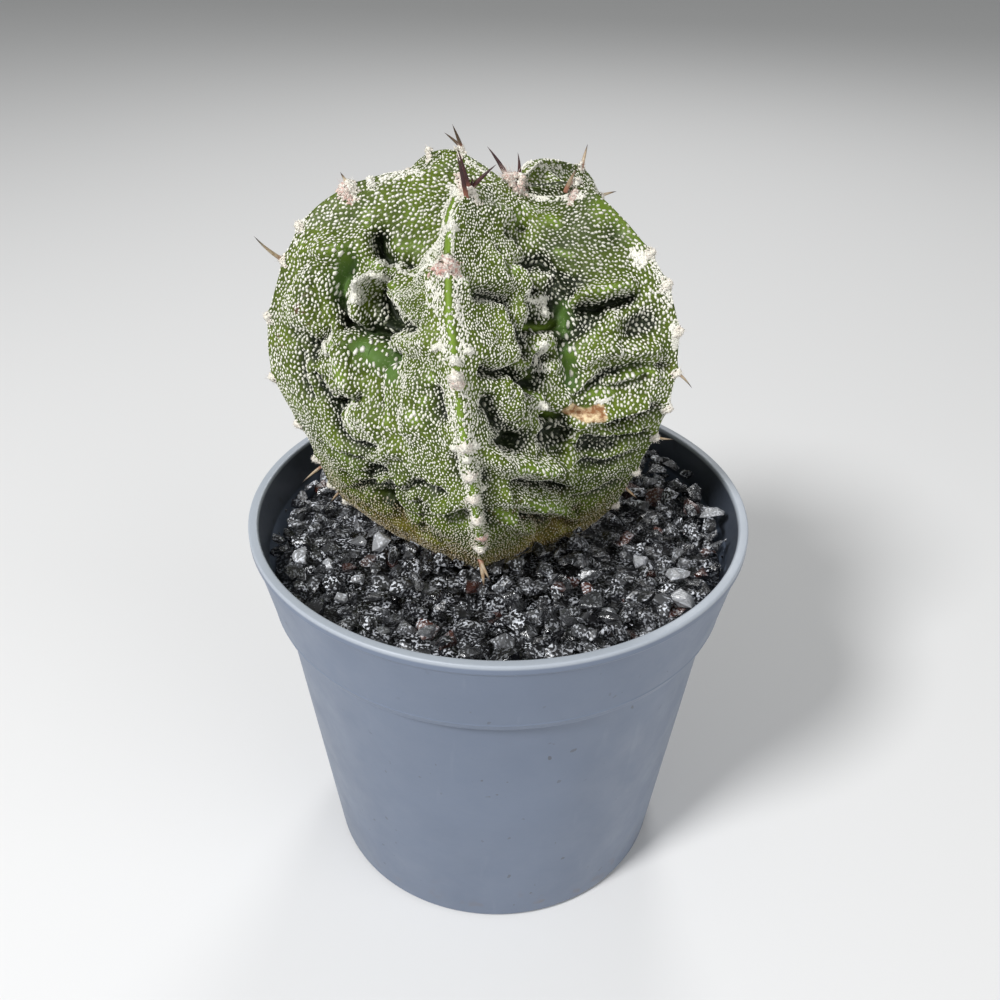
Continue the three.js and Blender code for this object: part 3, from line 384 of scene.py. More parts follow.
# Yellow green patches with fewer flecks: path of [azimuth, fall in percent], how wide, and how bright
BRIGHT_GREEN = [
    [[[-46.4, 22.5], [-25.2, 28.6]], 0.35, 0.7],
    [[[-15.9, 27.1], [-11.6, 31.9]], 0.45, 0.7],
    [[[-57.8, 38.2], [-57.1, 39.4]], 0.5, 0.8],
    [[[-54.2, 40.3], [-50.2, 41.7]], 0.9, 0.9],
    [[[-48.7, 46], [-48.2, 48.7], [-46.4, 50.5]], 0.45, 0.9],
    [[[-29.2, 41.8], [-26.4, 45.8]], 0.5, 0.6],
    [[[-67.2, 27.4], [-64.7, 27.1]], 0.8, 0.6],
    [[[-58.4, 24.9], [-54.9, 24.4], [-52.8, 23.5]], 0.6, 0.7],
    [[[-56.8, 27.7], [-56.2, 27.8]], 0.3, 0.6],
    [[[-64, 16.2], [-61.5, 16.2]], 1.2, 0.4],
    [[[-70.5, 21.2], [-67.2, 22.1]], 0.6, 0.6],
    [[[-57.1, 20.5], [-50.4, 17.6]], 0.9, 0.5],
    [[[-75.3, 31], [-74.4, 31.1]], 0.5, 0.8],
    [[[-10.8, 40.1], [-10.5, 40.3]], 0.6, 1],
    [[[-14.1, 44.3], [-13.8, 45]], 0.75, 1],
    [[[-11.8, 42.4], [-12.4, 43.1]], 0.4, 0.9],
    [[[-4.9, 29.3], [-3.8, 29.3]], 0.45, 0.9],
    [[[-2.1, 29.5], [0.2, 29]], 0.45, 0.8],
    [[[21.5, 33.1], [30.9, 32.1]], 0.5, 1],
    [[[21, 40.6], [23.2, 41.2]], 0.5, 1],
    [[[30.5, 43.8], [31.6, 45.3]], 0.5, 0.8],
    [[[48.9, 29.9], [51.5, 30.3], [58.4, 32.6]], 0.4, 0.8],
    [[[24.4, 28.8], [32.7, 29.3]], 0.6, 0.7],
    [[[7.3, 23.2], [16.1, 20.7]], 0.7, 0.8],
    [[[1.2, 11.6], [40.9, 8.8]], 0.9, 0.6],
    [[[45.9, 13.1], [47.7, 16.4]], 0.6, 0.7],
    [[[41.8, 19.7], [46.2, 22.4]], 0.5, 0.6],
    [[[64.3, 22.3], [66, 29.7]], 1.6, 0.5],
    [[[10.5, 52.1], [16.6, 52.5], [24.7, 54.5]], 0.75, 0.9],
    [[[14.1, 59.5], [22.8, 61.7], [35.9, 66.7]], 0.85, 0.9],
    [[[7.5, 61.3], [11.7, 63.2]], 0.6, 0.8],
    [[[53.3, 43.4], [59.5, 44.8]], 0.9, 0.5],
    [[[41.3, 42.9], [47.9, 44.4]], 0.7, 0.6],
    [[[-0.3, 54.9], [0.7, 56.2]], 0.4, 0.8],
    [[[-49.3, 69], [-31.6, 66.7]], 1.2, 0.5],
    [[[-60.3, 59.3], [-51.9, 61.4]], 1.4, 0.45],
    [[[-10, 63.8], [-2.9, 63.7]], 1.1, 0.5],
    [[[22.6, 37.4], [46.6, 34.3]], 0.5, 0.4],
    [[[35.6, 37], [36.8, 38.3]], 0.7, 0.3],
]
# Solid felt on the flanks: path of [azimuth, fall in percent], how wide aside and lock size in millimetres
FELT = [
    [[[-65.2, 9.3], [-56.5, 12.2], [-45.9, 13.6], [-16.8, 26]], 0.13, 0.17],
    [[[-59.6, 10.8], [-51.1, 13], [-14.3, 24.3]], 0.06, 0.11],
    [[[-61.7, 9], [-10.9, 22.2], [-8.6, 26.7]], 0.12, 0.16],
    [[[-46.7, 13.7], [-39.8, 12.9]], 0.3, 0.16],
    [[[-10.5, 24.3], [-10.1, 24.5]], 0.3, 0.16],
    [[[-11.8, 29.6], [-9.5, 31.7]], 0.3, 0.17],
    [[[-66.8, 9.7], [-62.3, 7.2]], 0.55, 0.2],
    [[[-10.5, 27.5], [-8.5, 29.5]], 0.5, 0.18],
    [[[29.7, 1.7], [45.6, 4.4], [57.3, 10], [60.5, 14.8]], 0.38, 0.2],
    [[[60.8, 13.8], [63, 18.6]], 0.45, 0.2],
    [[[-55.5, 30.6], [-56.6, 28.5], [-55.6, 26.3], [-50.4, 24.6]], 0.42, 0.2],
    [[[-56, 28.4], [-53.8, 30.1]], 0.6, 0.2],
    [[[-56.7, 24.2], [-53.2, 22.9]], 0.3, 0.16],
    [[[-51.3, 22.2], [-25.6, 23.8], [-12.3, 27.6]], 0.35, 0.16],
    [[[-58, 37], [-59, 39.3], [-57.8, 40.8]], 0.28, 0.18],
    [[[-26.3, 34], [-26.9, 35.6], [-24.4, 37.9]], 0.3, 0.16],
    [[[-49, 46.4], [-49.2, 48.7], [-47.5, 50.6]], 0.2, 0.16],
    [[[15.6, 32.8], [16.9, 32.8]], 0.7, 0.22],
    [[[22.4, 32.6], [24.4, 33.1]], 0.6, 0.22],
    [[[26, 33.4], [27, 36.8]], 0.45, 0.18],
    [[[21.9, 42.5], [24.3, 42.6]], 0.75, 0.22],
    [[[29, 24.6], [29.6, 27.6]], 0.42, 0.18],
    [[[16.6, 25], [31.6, 24.5]], 0.35, 0.18],
    [[[62.9, 29.9], [63.7, 31.8]], 0.6, 0.22],
    [[[64.5, 40.3], [65.2, 43.9]], 0.3, 0.2],
    [[[44, 44.7], [47.5, 45.5]], 0.35, 0.18],
]
# More woolly tufts: azimuth, fall in percent, size in millimetres, how pink
EXTRA_TUFTS = [
    [61.2, 16.2, 1.15, 0.35],
    [34, 3.2, 2.7, 0.35], [-9.1, 28.4, 1.5, 0.55], [-3.4, 41.1, 0.9, 0.3], [2.7, 66.7, 0.8, 0.6],
    [-63, 7.8, 1.4, 0.25], [-77.6, 22.3, 1.3, 0.4], [-15.5, 21.4, 0.65, 0], [-11, 23, 0.75, 0],
    [-8.2, 36.8, 0.6, 0], [-2, 37.1, 0.6, 0], [-4.3, 38.6, 0.75, 0], [-4.2, 49.4, 0.7, 0],
    [0.9, 48.9, 0.6, 0], [3.8, 56.4, 0.55, 0], [-1, 50.9, 0.7, 0], [-77, 19, 0.8, 0],
]
# The areoles' own tufts: size down to one fall, size below it, where they end, and how pink they are
UPPER_TUFT = 1.25
UPPER_END = 0.24
LOWER_TUFT = 0.95
TUFTS_END = 0.79
TUFT_PINK = 0.12
# Sectors that the flecks are parted into: names, where the first begins and how wide they are, in degrees
SECTORS = ["left_front", "right_front", "right", "back", "left"]
SECTOR_START = -78
SECTOR_WIDTH = 72
# What the lamps are aimed at, in metres
LAMP_AIM = (0, 0, 0.08)
# Lamps: name, place in metres, size in metres, share of the main power
LAMPS = [
    ["main lamp", (-0.42, -0.44, 0.68), 0.2, 1.0], ["fill lamp", (0.6, -0.5, 0.45), 0.8, 0.34],
    ["back lamp", (0.1, 0.6, 0.6), 0.22, 0.2],
]


# Measures and curves

# Sides of the table that noise is read from, and the shortest length that is divided by
NOISE_CELLS = 32
TINY = 1e-9


def unit(vectors):
    """The same directions, each one long."""
    return vectors / np.maximum(np.linalg.norm(vectors, axis=-1, keepdims=True), TINY)


def catmull(values, share):
    """A smooth curve through evenly spaced values, at each share of the way along it."""
    table = np.asarray(values, float)
    last = len(table) - 1
    place = np.clip(share, 0.0, 1.0) * last
    index = np.minimum(place.astype(int), last - 1)
    part = place - index
    if table.ndim > 1:
        part = part[..., None]
    before = table[np.maximum(index - 1, 0)]
    start = table[index]
    end = table[index + 1]
    after = table[np.minimum(index + 2, last)]
    bend = 2 * before - 5 * start + 4 * end - after
    twist = 3 * start - before - 3 * end + after
    return 0.5 * (2 * start + (end - before) * part + bend * part**2 + twist * part**3)


def noise(points, size, seed):
    """Smooth random values from -1 to 1, with one bump to each size."""
    table = np.random.default_rng(seed).uniform(-1, 1, (NOISE_CELLS,) * 3)
    place = points / size + seed * 0.37
    cell = np.floor(place).astype(int)
    part = place - cell
    part = part * part * (3 - 2 * part)
    total = np.zeros(points.shape[:-1])
    for corner in itertools.product((0, 1), repeat=3):
        step = np.array(corner)
        weight = np.prod(np.where(step, part, 1 - part), axis=-1)
        spot = (cell + step) % NOISE_CELLS
        total += weight * table[spot[..., 0], spot[..., 1], spot[..., 2]]
    return total


def bell(distance, width):
    """1 at no distance, a third at the width, nothing far off."""
    return np.exp(-((distance / width) ** 2))


def fade(value, low, high):
    """0 at low, 1 at high, smooth between."""
    share = np.clip((value - low) / (high - low), 0, 1)
    return share * share * (3 - 2 * share)


def seeded_draw(seed):
    """Numbers drawn from a seed by the same rule as in the part's source."""
    state = seed

    def draw(low, high):
        nonlocal state
        state = (state * 1664525 + 1013904223) % 4294967296
        return low + (high - low) * (state / 4294967296)

    return draw


# The cactus's skin, in millimetres

def crest_azimuths(fall):
    """Azimuth of each rib's crest at this fall."""
    lines = [azimuth + catmull(turn, fall) for azimuth, turn in zip(RIB_AZIMUTHS, RIB_TURNS)]
    return np.stack(lines, axis=-1)


def ribs_around(azimuth, fall):
    """Share of the way between the two ribs around, the nearest rib, and degrees to its crest."""
    back = np.mod(azimuth[..., None] - crest_azimuths(fall), 360.0)
    ahead = np.where(back == 0, 360.0, 360.0 - back)
    behind = back.min(-1)
    before = ahead.min(-1)
    share = behind / (behind + before)
    nearest = np.where(share < 0.5, back.argmin(-1), ahead.argmin(-1))
    return share, nearest, np.minimum(behind, before)


def plain_skin(azimuth, fall):
    """The body with its five ribs and no folds. The fall runs from 0 to 1."""
    azimuth, fall = np.broadcast_arrays(np.asarray(azimuth, float), np.asarray(fall, float))
    share, nearest, _ = ribs_around(azimuth, fall)
    crest = catmull(CREST, fall)
    valley = catmull(VALLEY, fall)
    middle = catmull(MIDDLE, fall)
    swells = np.stack([catmull(swell, fall) for swell in RIB_SWELLS], axis=-1)
    swell = np.take_along_axis(swells, nearest[..., None], -1)[..., 0]
    height = np.abs(1 - 2 * share) ** RIB_SHARPNESS
    radius = valley[..., 0] + (crest[..., 0] - valley[..., 0] + swell) * height
    angle = np.radians(azimuth)
    x = middle[..., 0] + radius * np.sin(angle)
    y = middle[..., 1] - radius * np.cos(angle)
    z = valley[..., 1] + (crest[..., 1] - valley[..., 1]) * height
    return np.stack([x, y, z], axis=-1)


def skin_normal(azimuth, fall):
    """Outward way of the plain skin, straight up and down at its two poles."""
    step = 0.4
    around = plain_skin(azimuth + step, fall) - plain_skin(azimuth - step, fall)
    high = plain_skin(azimuth, np.maximum(0, fall - step / 180))
    up = high - plain_skin(azimuth, np.minimum(1, fall + step / 180))
    normal = unit(np.cross(around, up))
    pole = (fall < 1e-3) | (fall > 1 - 1e-3)
    upright = np.stack([0 * fall, 0 * fall, np.where(fall < 0.5, 1.0, -1.0)], axis=-1)
    return np.where(pole[..., None], upright, normal)


def downhill(azimuth, fall):
    """The way down the plain skin."""
    return plain_skin(azimuth, fall + 0.01) - plain_skin(azimuth, fall - 0.01)


def way_to_crest(azimuth, fall, points):
    """Millimetres around the body to the nearest crest."""
    _, _, degrees = ribs_around(azimuth, fall)
    middle = catmull(MIDDLE, fall)
    radius = np.hypot(points[..., 0] - middle[..., 0], points[..., 1] - middle[..., 1])
    return np.radians(degrees) * radius


def waver(points):
    """Bends the straight fold paths, so that none runs like a ruler."""
    long = np.sin(points @ np.transpose(LONG_WAVES) + LONG_STARTS)
    short = np.sin(points @ np.transpose(SHORT_WAVES))
    return points + WAVER * (long + SHORT_SHARE * short)


def fold_path(path):
    """Points on the plain skin at a path's corners and halfway between them."""
    corners = []
    for i, (azimuth, fall) in enumerate(path):
        corners.append([azimuth, fall / 100])
        if i + 1 < len(path):
            corners.append([(azimuth + path[i + 1][0]) / 2, (fall + path[i + 1][1]) / 200])
    corners = np.array(corners, float)
    return plain_skin(corners[:, 0], corners[:, 1])


def wild_folds():
    """Pairs of a bar and the groove beneath it, drawn by seed for the flanks at the sides and back."""
    draw = seeded_draw(WILD_SEED)
    made = []
    for low, high in WILD_FLANKS:
        for _ in range(WILD_PAIRS):
            azimuth = draw(low, high)
            fall = draw(*WILD_FALLS)
            reach, tilt, width, rise, drop = (draw(*limits) for limits in WILD_RANGES)
            bar = [[azimuth - reach, fall - tilt], [azimuth + reach, fall + tilt]]
            groove = [[azimuth - reach, fall - tilt + drop], [azimuth + reach, fall + tilt + drop]]
            made.append(["bar", width, rise, bar])
            made.append(["groove", width * GROOVE_SHARE, -rise, groove])
    return made


def distance_to_path(points, path):
    """Millimetres from each point to the nearest stretch of the path."""
    best = np.linalg.norm(points - path[0], axis=-1)
    for start, end in zip(path[:-1], path[1:]):
        run = end - start
        along = np.clip((points - start) @ run / max(run @ run, TINY), 0, 1)
        best = np.minimum(best, np.linalg.norm(points - start - along[..., None] * run, axis=-1))
    return best


def fold_shape(distance, width, rise):
    """A fold across its path: grooves have a sharper bottom, ridges a rounder back."""
    return np.exp(-((distance / width) ** (1.7 if rise < 0 else 2.3)))


def fold_relief(points):
    """How far the folds lift or sink the flanks at each point."""
    wavered = waver(points)
    total = np.zeros(len(points))
    for _, width, rise, path in FOLDS + wild_folds():
        width = max(width, NARROWEST_FOLD)
        line = fold_path(path)
        reach = 3 * width
        close = np.all((wavered > line.min(0) - reach) & (wavered < line.max(0) + reach), axis=-1)
        total[close] += FOLD_DEPTH * rise * fold_shape(distance_to_path(wavered[close], line), width, rise)
    return total


def areole_places():
    """Rib, azimuth and fall of each woolly cushion along the crests."""
    places = []
    for rib, falls in enumerate(AREOLES):
        for percent in falls:
            azimuth = crest_azimuths(np.array(percent / 100))[rib]
            places.append([rib, float(azimuth), percent / 100])
    return places


def fine_relief(points):
    """Small lumps and creases between the named folds, in millimetres."""
    bent = points + 1.3 * np.stack([noise(points, 4.5, seed) for seed in (11, 12, 13)], axis=-1)
    lumps = sum(height * noise(bent, size, seed) for height, size, seed in SMALL_LUMPS)
    creases = -0.8 * bell(noise(bent * [1, 1, 1.6], 4.2, 23), 0.14)
    return lumps + creases * fade(noise(points, 9, 24), -0.5, 0.3)


def raised_skin(azimuth, fall):
    """Points of the folded skin, their plain normals, relief and way to the nearest crest."""
    plain = plain_skin(azimuth, fall)
    to_crest = way_to_crest(azimuth, fall, plain)
    flank = fold_relief(plain) * (1 - bell(to_crest, FOLD_CLEAR_OF_CREST))
    calm = fade(fall, 0.1, 0.26) * (0.25 * fade(to_crest, 1.2, 4) + 0.75 * fade(to_crest, 4, 10))
    calm = calm * fade(1 - fall, 0.1, 0.3)
    for path, width in SMOOTH_SKIN:
        calm = calm * (1 - 0.8 * bell(distance_to_path(plain, fold_path(path)), width))
    flank += SKIN_LUMPS * calm * fine_relief(plain)
    ends = np.minimum(1, fall / CROWN_FADE) * np.minimum(1, (1 - fall) / FOOT_FADE)
    _, nearest, _ = ribs_around(azimuth, fall)
    front = FRONT_CORD[1] * (nearest == 0) * fade(fall, 0.13, 0.2) * (1 - fade(fall, 0.42, 0.6))
    cord = (CREST_CORD[1] * bell(to_crest, CREST_CORD[0]) + front * bell(to_crest, FRONT_CORD[0])) * ends
    total = flank * ends
    crests = crest_azimuths(fall)
    for rib, start, end, drop in LOW_CRESTS:
        aside = np.abs(np.mod(azimuth - crests[..., rib] + 180, 360) - 180)
        along = fade(fall, start, start + 0.05) * (1 - fade(fall, end - 0.1, end))
        total = total - drop * along * (1 - fade(aside, 14, 34))
    cushions = np.zeros(len(total))
    spots = [[*place, *CUSHION] for _, *place in areole_places()]
    crown_azimuth, crown_percent, *crown_shape = CROWN_CUSHION
    spots.append([crown_azimuth, crown_percent / 100, *crown_shape])
    foot = np.minimum(1, (1 - fall) / FOOT_FADE)
    for spot_azimuth, spot_fall, width, rise in spots:
        centre = plain_skin(spot_azimuth, spot_fall)
        cushions += rise * foot * bell(np.linalg.norm(plain - centre, axis=-1), width)
    normal = skin_normal(azimuth, fall)
    ridge = unit(skin_normal(azimuth + RIDGE_SPAN, fall) + skin_normal(azimuth - RIDGE_SPAN, fall))
    share = (bell(to_crest, RIDGE_REACH) * fade(fall, 0.03, 0.08))[..., None]
    outward = unit(normal * (1 - share) + ridge * share)
    points = plain + normal * total[..., None] + outward * (cord + cushions)[..., None]
    return points, normal, flank, to_crest


# Mesh helpers

def new_object(name, mesh, material, smooth=True):
    """A finished piece of the scene, riding on the one body."""
    piece = bpy.data.objects.new(name, mesh)
    bpy.context.scene.collection.objects.link(piece)
    mesh.materials.append(material)
    shade(mesh, smooth)
    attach(piece, "root")
    return piece


def mesh_of(bm, name):
    """Turns a bmesh into a mesh and frees it."""
    mesh = bpy.data.meshes.new(name)
    bm.to_mesh(mesh)
    bm.free()
    return mesh


def points_of(mesh):
    flat = np.empty(len(mesh.vertices) * 3, np.float32)
    mesh.vertices.foreach_get("co", flat)
    return flat.reshape(-1, 3).astype(float)


def place_points(mesh, points):
    mesh.vertices.foreach_set("co", np.asarray(points, np.float32).ravel())
    mesh.update()


def shade(mesh, smooth):
    mesh.polygons.foreach_set("use_smooth", np.full(len(mesh.polygons), smooth))
    mesh.update()


def spun(profile, sides, closed=False):
    """A bmesh turned about Z from [radius, height] points, in metres."""
    bm = bmesh.new()
    corners = [bm.verts.new((radius * MM, 0, height * MM)) for radius, height in profile]
    for first, second in zip(corners[:-1], corners[1:]):
        bm.edges.new((first, second))
    if closed:
        bm.edges.new((corners[-1], corners[0]))
    bmesh.ops.spin(
        bm, geom=bm.verts[:] + bm.edges[:], cent=(0, 0, 0), axis=(0, 0, 1), dvec=(0, 0, 0),
        angle=2 * math.pi, steps=sides, use_merge=True, use_normal_flip=False, use_duplicate=False,
    )
    bmesh.ops.remove_doubles(bm, verts=bm.verts, dist=1e-6)
    bmesh.ops.recalc_face_normals(bm, faces=bm.faces)
    return bm


def template_of(bm):
    """Points in the template's own units and faces as lists, ready to be repeated."""
    bm.verts.ensure_lookup_table()
    points = np.array([vert.co[:] for vert in bm.verts])
    faces = [[vert.index for vert in face.verts] for face in bm.faces]
    bm.free()
    return points, faces


def repeated(name, templates, kinds, spots, axes, tones):
    """One mesh of many copies. Axes hold each copy's three scaled directions as rows, spots its place."""
    points = []
    loops = []
    sizes = []
    colours = []
    start = 0
    for kind, (shape, faces) in enumerate(templates):
        chosen = np.flatnonzero(kinds == kind)
        if len(chosen) == 0:
            continue
        moved = np.einsum("vi,nij->nvj", shape, axes[chosen]) + spots[chosen][:, None, :]
        flat_faces = np.concatenate([np.array(face) for face in faces])
        face_sizes = np.array([len(face) for face in faces])
        offsets = start + len(shape) * np.arange(len(chosen))
        points.append(moved.reshape(-1, 3))
        loops.append((flat_faces[None, :] + offsets[:, None]).ravel())
        sizes.append(np.tile(face_sizes, len(chosen)))
        colours.append(np.repeat(tones[chosen], len(shape), axis=0))
        start += len(shape) * len(chosen)
    points = np.concatenate(points)
    loops = np.concatenate(loops)
    sizes = np.concatenate(sizes)
    mesh = bpy.data.meshes.new(name)
    mesh.vertices.add(len(points))
    mesh.loops.add(len(loops))
    mesh.polygons.add(len(sizes))
    mesh.vertices.foreach_set("co", (points * MM).astype(np.float32).ravel())
    mesh.loops.foreach_set("vertex_index", loops.astype(np.int32))
    starts = np.concatenate([[0], np.cumsum(sizes)[:-1]])
    mesh.polygons.foreach_set("loop_start", starts.astype(np.int32))
    mesh.update(calc_edges=True)
    mesh.validate()
    write_colours(mesh, "tone", np.concatenate(colours))
    return mesh


def write_colours(mesh, name, values):
    """Stores red, green, blue values at each vertex."""
    layer = mesh.color_attributes.new(name, "FLOAT_COLOR", "POINT")
    full = np.ones((len(values), 4), np.float32)
    full[:, :3] = values
    layer.data.foreach_set("color", full.ravel())


def frame_of(normals, leads):
    """Unit axes whose third is the normal and whose second leans to the lead."""
    third = unit(normals)
    second = unit(leads - third * np.sum(leads * third, axis=-1, keepdims=True))
    return np.stack([np.cross(second, third), second, third], axis=1)


def turned(axes, angles):
    """The same axes, turned about their third."""
    cosine = np.cos(angles)[:, None]
    sine = np.sin(angles)[:, None]
    first = cosine * axes[:, 0] + sine * axes[:, 1]
    second = -sine * axes[:, 0] + cosine * axes[:, 1]
    return np.stack([first, second, axes[:, 2]], axis=1)


# Material helpers

def put(tree, kind, inputs=None, **settings):
    """Adds a node, sets its own settings, and fills or links its inputs by name or number."""
    node = tree.nodes.new(kind)
    for key, value in settings.items():
        setattr(node, key, value)
    for key, value in (inputs or {}).items():
        if isinstance(value, bpy.types.NodeSocket):
            tree.links.new(value, node.inputs[key])
        else:
            node.inputs[key].default_value = value
    return node


def object_coords(tree):
    return put(tree, "ShaderNodeTexCoord").outputs["Object"]


def texture(tree, coords, scale, detail=3.0, roughness=0.6, distortion=0.0):
    inputs = {
        "Vector": coords, "Scale": scale, "Detail": detail,
        "Roughness": roughness, "Distortion": distortion,
    }
    return put(tree, "ShaderNodeTexNoise", inputs).outputs["Fac"]


def ranged(tree, value, low, high, to_low=0.0, to_high=1.0):
    inputs = {"Value": value, "From Min": low, "From Max": high, "To Min": to_low, "To Max": to_high}
    return put(tree, "ShaderNodeMapRange", inputs).outputs["Result"]


def mixed(tree, share, first, second, blend="MIX"):
    inputs = {0: share, 6: first, 7: second}
    return put(tree, "ShaderNodeMix", inputs, data_type="RGBA", blend_type=blend).outputs[2]


def sums(tree, operation, first, second):
    return put(tree, "ShaderNodeMath", {0: first, 1: second}, operation=operation).outputs[0]


def attribute(tree, name):
    """The stored red, green and blue values, one by one."""
    colour = put(tree, "ShaderNodeAttribute", attribute_name=name).outputs["Color"]
    return put(tree, "ShaderNodeSeparateColor", {"Color": colour}).outputs


def linear(red, green, blue):
    """A colour as a screen shows it, from 0 to 255, turned into the shader's own values."""
    values = []
    for part in (red, green, blue):
        share = part / 255
        values.append(share / 12.92 if share <= 0.04045 else ((share + 0.055) / 1.055) ** 2.4)
    return (*values, 1.0)


def new_group(name, inputs, outputs):
    """A shader node group with its in and out nodes. Inputs give name, socket kind and default."""
    group = bpy.data.node_groups.new(name, "ShaderNodeTree")
    for label, kind, default in inputs:
        socket = group.interface.new_socket(label, in_out="INPUT", socket_type=kind)
        if default is not None:
            socket.default_value = default
    for label, kind in outputs:
        group.interface.new_socket(label, in_out="OUTPUT", socket_type=kind)
    return group, group.nodes.new("NodeGroupInput").outputs, group.nodes.new("NodeGroupOutput")


def speckle_group():
    """Small scattered specks: a mask of where fine noise peaks, thinned by broad noise."""
    name = "scattered specks"
    if name in bpy.data.node_groups:
        return bpy.data.node_groups[name]
    inputs = [
        ("Scale", "NodeSocketFloat", 900.0), ("Peak", "NodeSocketFloat", 0.7),
        ("Softness", "NodeSocketFloat", 0.03), ("Patch Scale", "NodeSocketFloat", 60.0),
    ]
    group, given, out = new_group(name, inputs, [("Mask", "NodeSocketFloat")])
    coords = object_coords(group)
    fine = texture(group, coords, given["Scale"], 1.0, 0.5)
    broad = texture(group, coords, given["Patch Scale"], 2.0, 0.5)
    top = sums(group, "ADD", given["Peak"], given["Softness"])
    peaks = ranged(group, fine, given["Peak"], top)
    patches = ranged(group, broad, 0.35, 0.6)
    group.links.new(sums(group, "MULTIPLY", peaks, patches), out.inputs["Mask"])
    return group


def mottle_group():
    """Two colours that drift into each other over the surface, coarse and fine together."""
    name = "drifting colour"
    if name in bpy.data.node_groups:
        return bpy.data.node_groups[name]
    inputs = [
        ("First", "NodeSocketColor", (0.5, 0.5, 0.5, 1.0)),
        ("Second", "NodeSocketColor", (0.2, 0.2, 0.2, 1.0)),
        ("Scale", "NodeSocketFloat", 80.0), ("Contrast", "NodeSocketFloat", 0.2),
    ]
    outputs = [("Color", "NodeSocketColor"), ("Share", "NodeSocketFloat")]
    group, given, out = new_group(name, inputs, outputs)
    value = texture(group, object_coords(group), given["Scale"], 5.0, 0.6, 0.3)
    low = sums(group, "SUBTRACT", 0.5, given["Contrast"])
    high = sums(group, "ADD", 0.5, given["Contrast"])
    share = ranged(group, value, low, high)
    group.links.new(mixed(group, share, given["First"], given["Second"]), out.inputs["Color"])
    group.links.new(share, out.inputs["Share"])
    return group


def drifting(tree, first, second, scale, contrast):
    """A colour that drifts between two, by the shared group."""
    inputs = {"First": first, "Second": second, "Scale": scale, "Contrast": contrast}
    return put(tree, "ShaderNodeGroup", inputs, node_tree=mottle_group()).outputs["Color"]


def specks(tree, scale, peak, patch_scale, softness=0.03):
    """A mask of scattered specks, by the shared group."""
    inputs = {"Scale": scale, "Peak": peak, "Softness": softness, "Patch Scale": patch_scale}
    return put(tree, "ShaderNodeGroup", inputs, node_tree=speckle_group()).outputs["Mask"]


def product(tree, first, second):
    return sums(tree, "MULTIPLY", first, second)


def opaque(colour):
    return (*colour, 1.0)


def new_material(name):
    """An empty material with its shader joined to its output."""
    material = bpy.data.materials.new(name)
    material.use_nodes = True
    tree = material.node_tree
    tree.nodes.clear()
    shader = put(tree, "ShaderNodeBsdfPrincipled")
    output = put(tree, "ShaderNodeOutputMaterial")
    tree.links.new(shader.outputs["BSDF"], output.inputs["Surface"])
    return material, tree, shader


def finished(material_parts, colour, roughness, height, strength, distance):
    """Joins colour, roughness and bump to the shader and hands the material back."""
    material, tree, shader = material_parts
    tree.links.new(colour, shader.inputs["Base Color"])
    if isinstance(roughness, bpy.types.NodeSocket):
        tree.links.new(roughness, shader.inputs["Roughness"])
    else:
        shader.inputs["Roughness"].default_value = roughness
    bump = put(tree, "ShaderNodeBump", {"Height": height, "Strength": strength, "Distance": distance})
    tree.links.new(bump.outputs["Normal"], shader.inputs["Normal"])
    return material


def pot_material(settings):
    """Blue grey plastic, scuffed and specked, dirty at the foot, with painted shade on the inner wall and a
    painted highlight on the top face.
    """
    parts = new_material("pot_plastic")
    _, tree, shader = parts
    coords = object_coords(tree)
    pale = [min(1.0, part * 1.16) for part in settings.colour]
    drift = drifting(tree, opaque(settings.colour), opaque(pale), 45.0, 0.3)
    stretch = put(tree, "ShaderNodeMapping", {"Vector": coords, "Scale": (1.0, 1.0, 0.08)})
    streaks = ranged(tree, texture(tree, stretch.outputs["Vector"], 420.0, 2.0), 0.66, 0.78, 0.0, 0.06)
    scuffed = mixed(tree, streaks, drift, linear(176, 184, 196))
    specked = mixed(tree, product(tree, specks(tree, 620.0, 0.74, 40.0), 0.55), scuffed, linear(66, 60, 56))
    spot = put(tree, "ShaderNodeSeparateXYZ", {"Vector": coords}).outputs
    height = spot["Z"]
    low = ranged(tree, height, 0.0, 0.012, 1.0, 0.0)
    squares = [product(tree, spot[axis], spot[axis]) for axis in "XY"]
    start, end, wall_foot = INNER_WALL_SHADE
    within = ranged(tree, sums(tree, "ADD", *squares), start ** 2, end ** 2, 1.0, 0.0)
    inner = product(tree, within, ranged(tree, height, wall_foot, wall_foot + 0.0005))
    dust = specks(tree, 380.0, 0.6, 90.0, 0.12)
    dirty = mixed(tree, product(tree, product(tree, low, dust), 0.5), specked, linear(112, 96, 84))
    # Painted shade: the inner wall above the grit darkens towards near black, a little deeper at the dust
    # specks
    dust_and_shade = product(tree, inner, ranged(tree, dust, 0.0, 1.0, 0.72, 0.9))
    shaded_inside = mixed(tree, dust_and_shade, dirty, linear(44, 46, 50))
    # Painted highlight: the pot's top face is lightened
    rim = product(tree, ranged(tree, height, *RIM_HIGHLIGHT), 0.9)
    rimmed = mixed(tree, rim, shaded_inside, linear(172, 179, 188))
    glossy, matt = settings.roughness - 0.05, settings.roughness + 0.08
    gloss = ranged(tree, texture(tree, coords, 130.0, 3.0), 0.3, 0.7, glossy, matt)
    shader.inputs["IOR"].default_value = 1.49
    return finished(parts, rimmed, gloss, texture(tree, coords, 700.0, 3.0), 0.12, 0.0002)


def soil_material():
    """Dark peat with a few pale crumbs."""
    parts = new_material("potting_soil")
    tree = parts[1]
    peat = drifting(tree, linear(28, 20, 14), linear(72, 54, 38), 420.0, 0.2)
    crumbed = mixed(tree, specks(tree, 300.0, 0.62, 120.0), peat, linear(150, 140, 122))
    return finished(parts, crumbed, 0.95, texture(tree, object_coords(tree), 500.0, 5.0, 0.7), 0.9, 0.001)


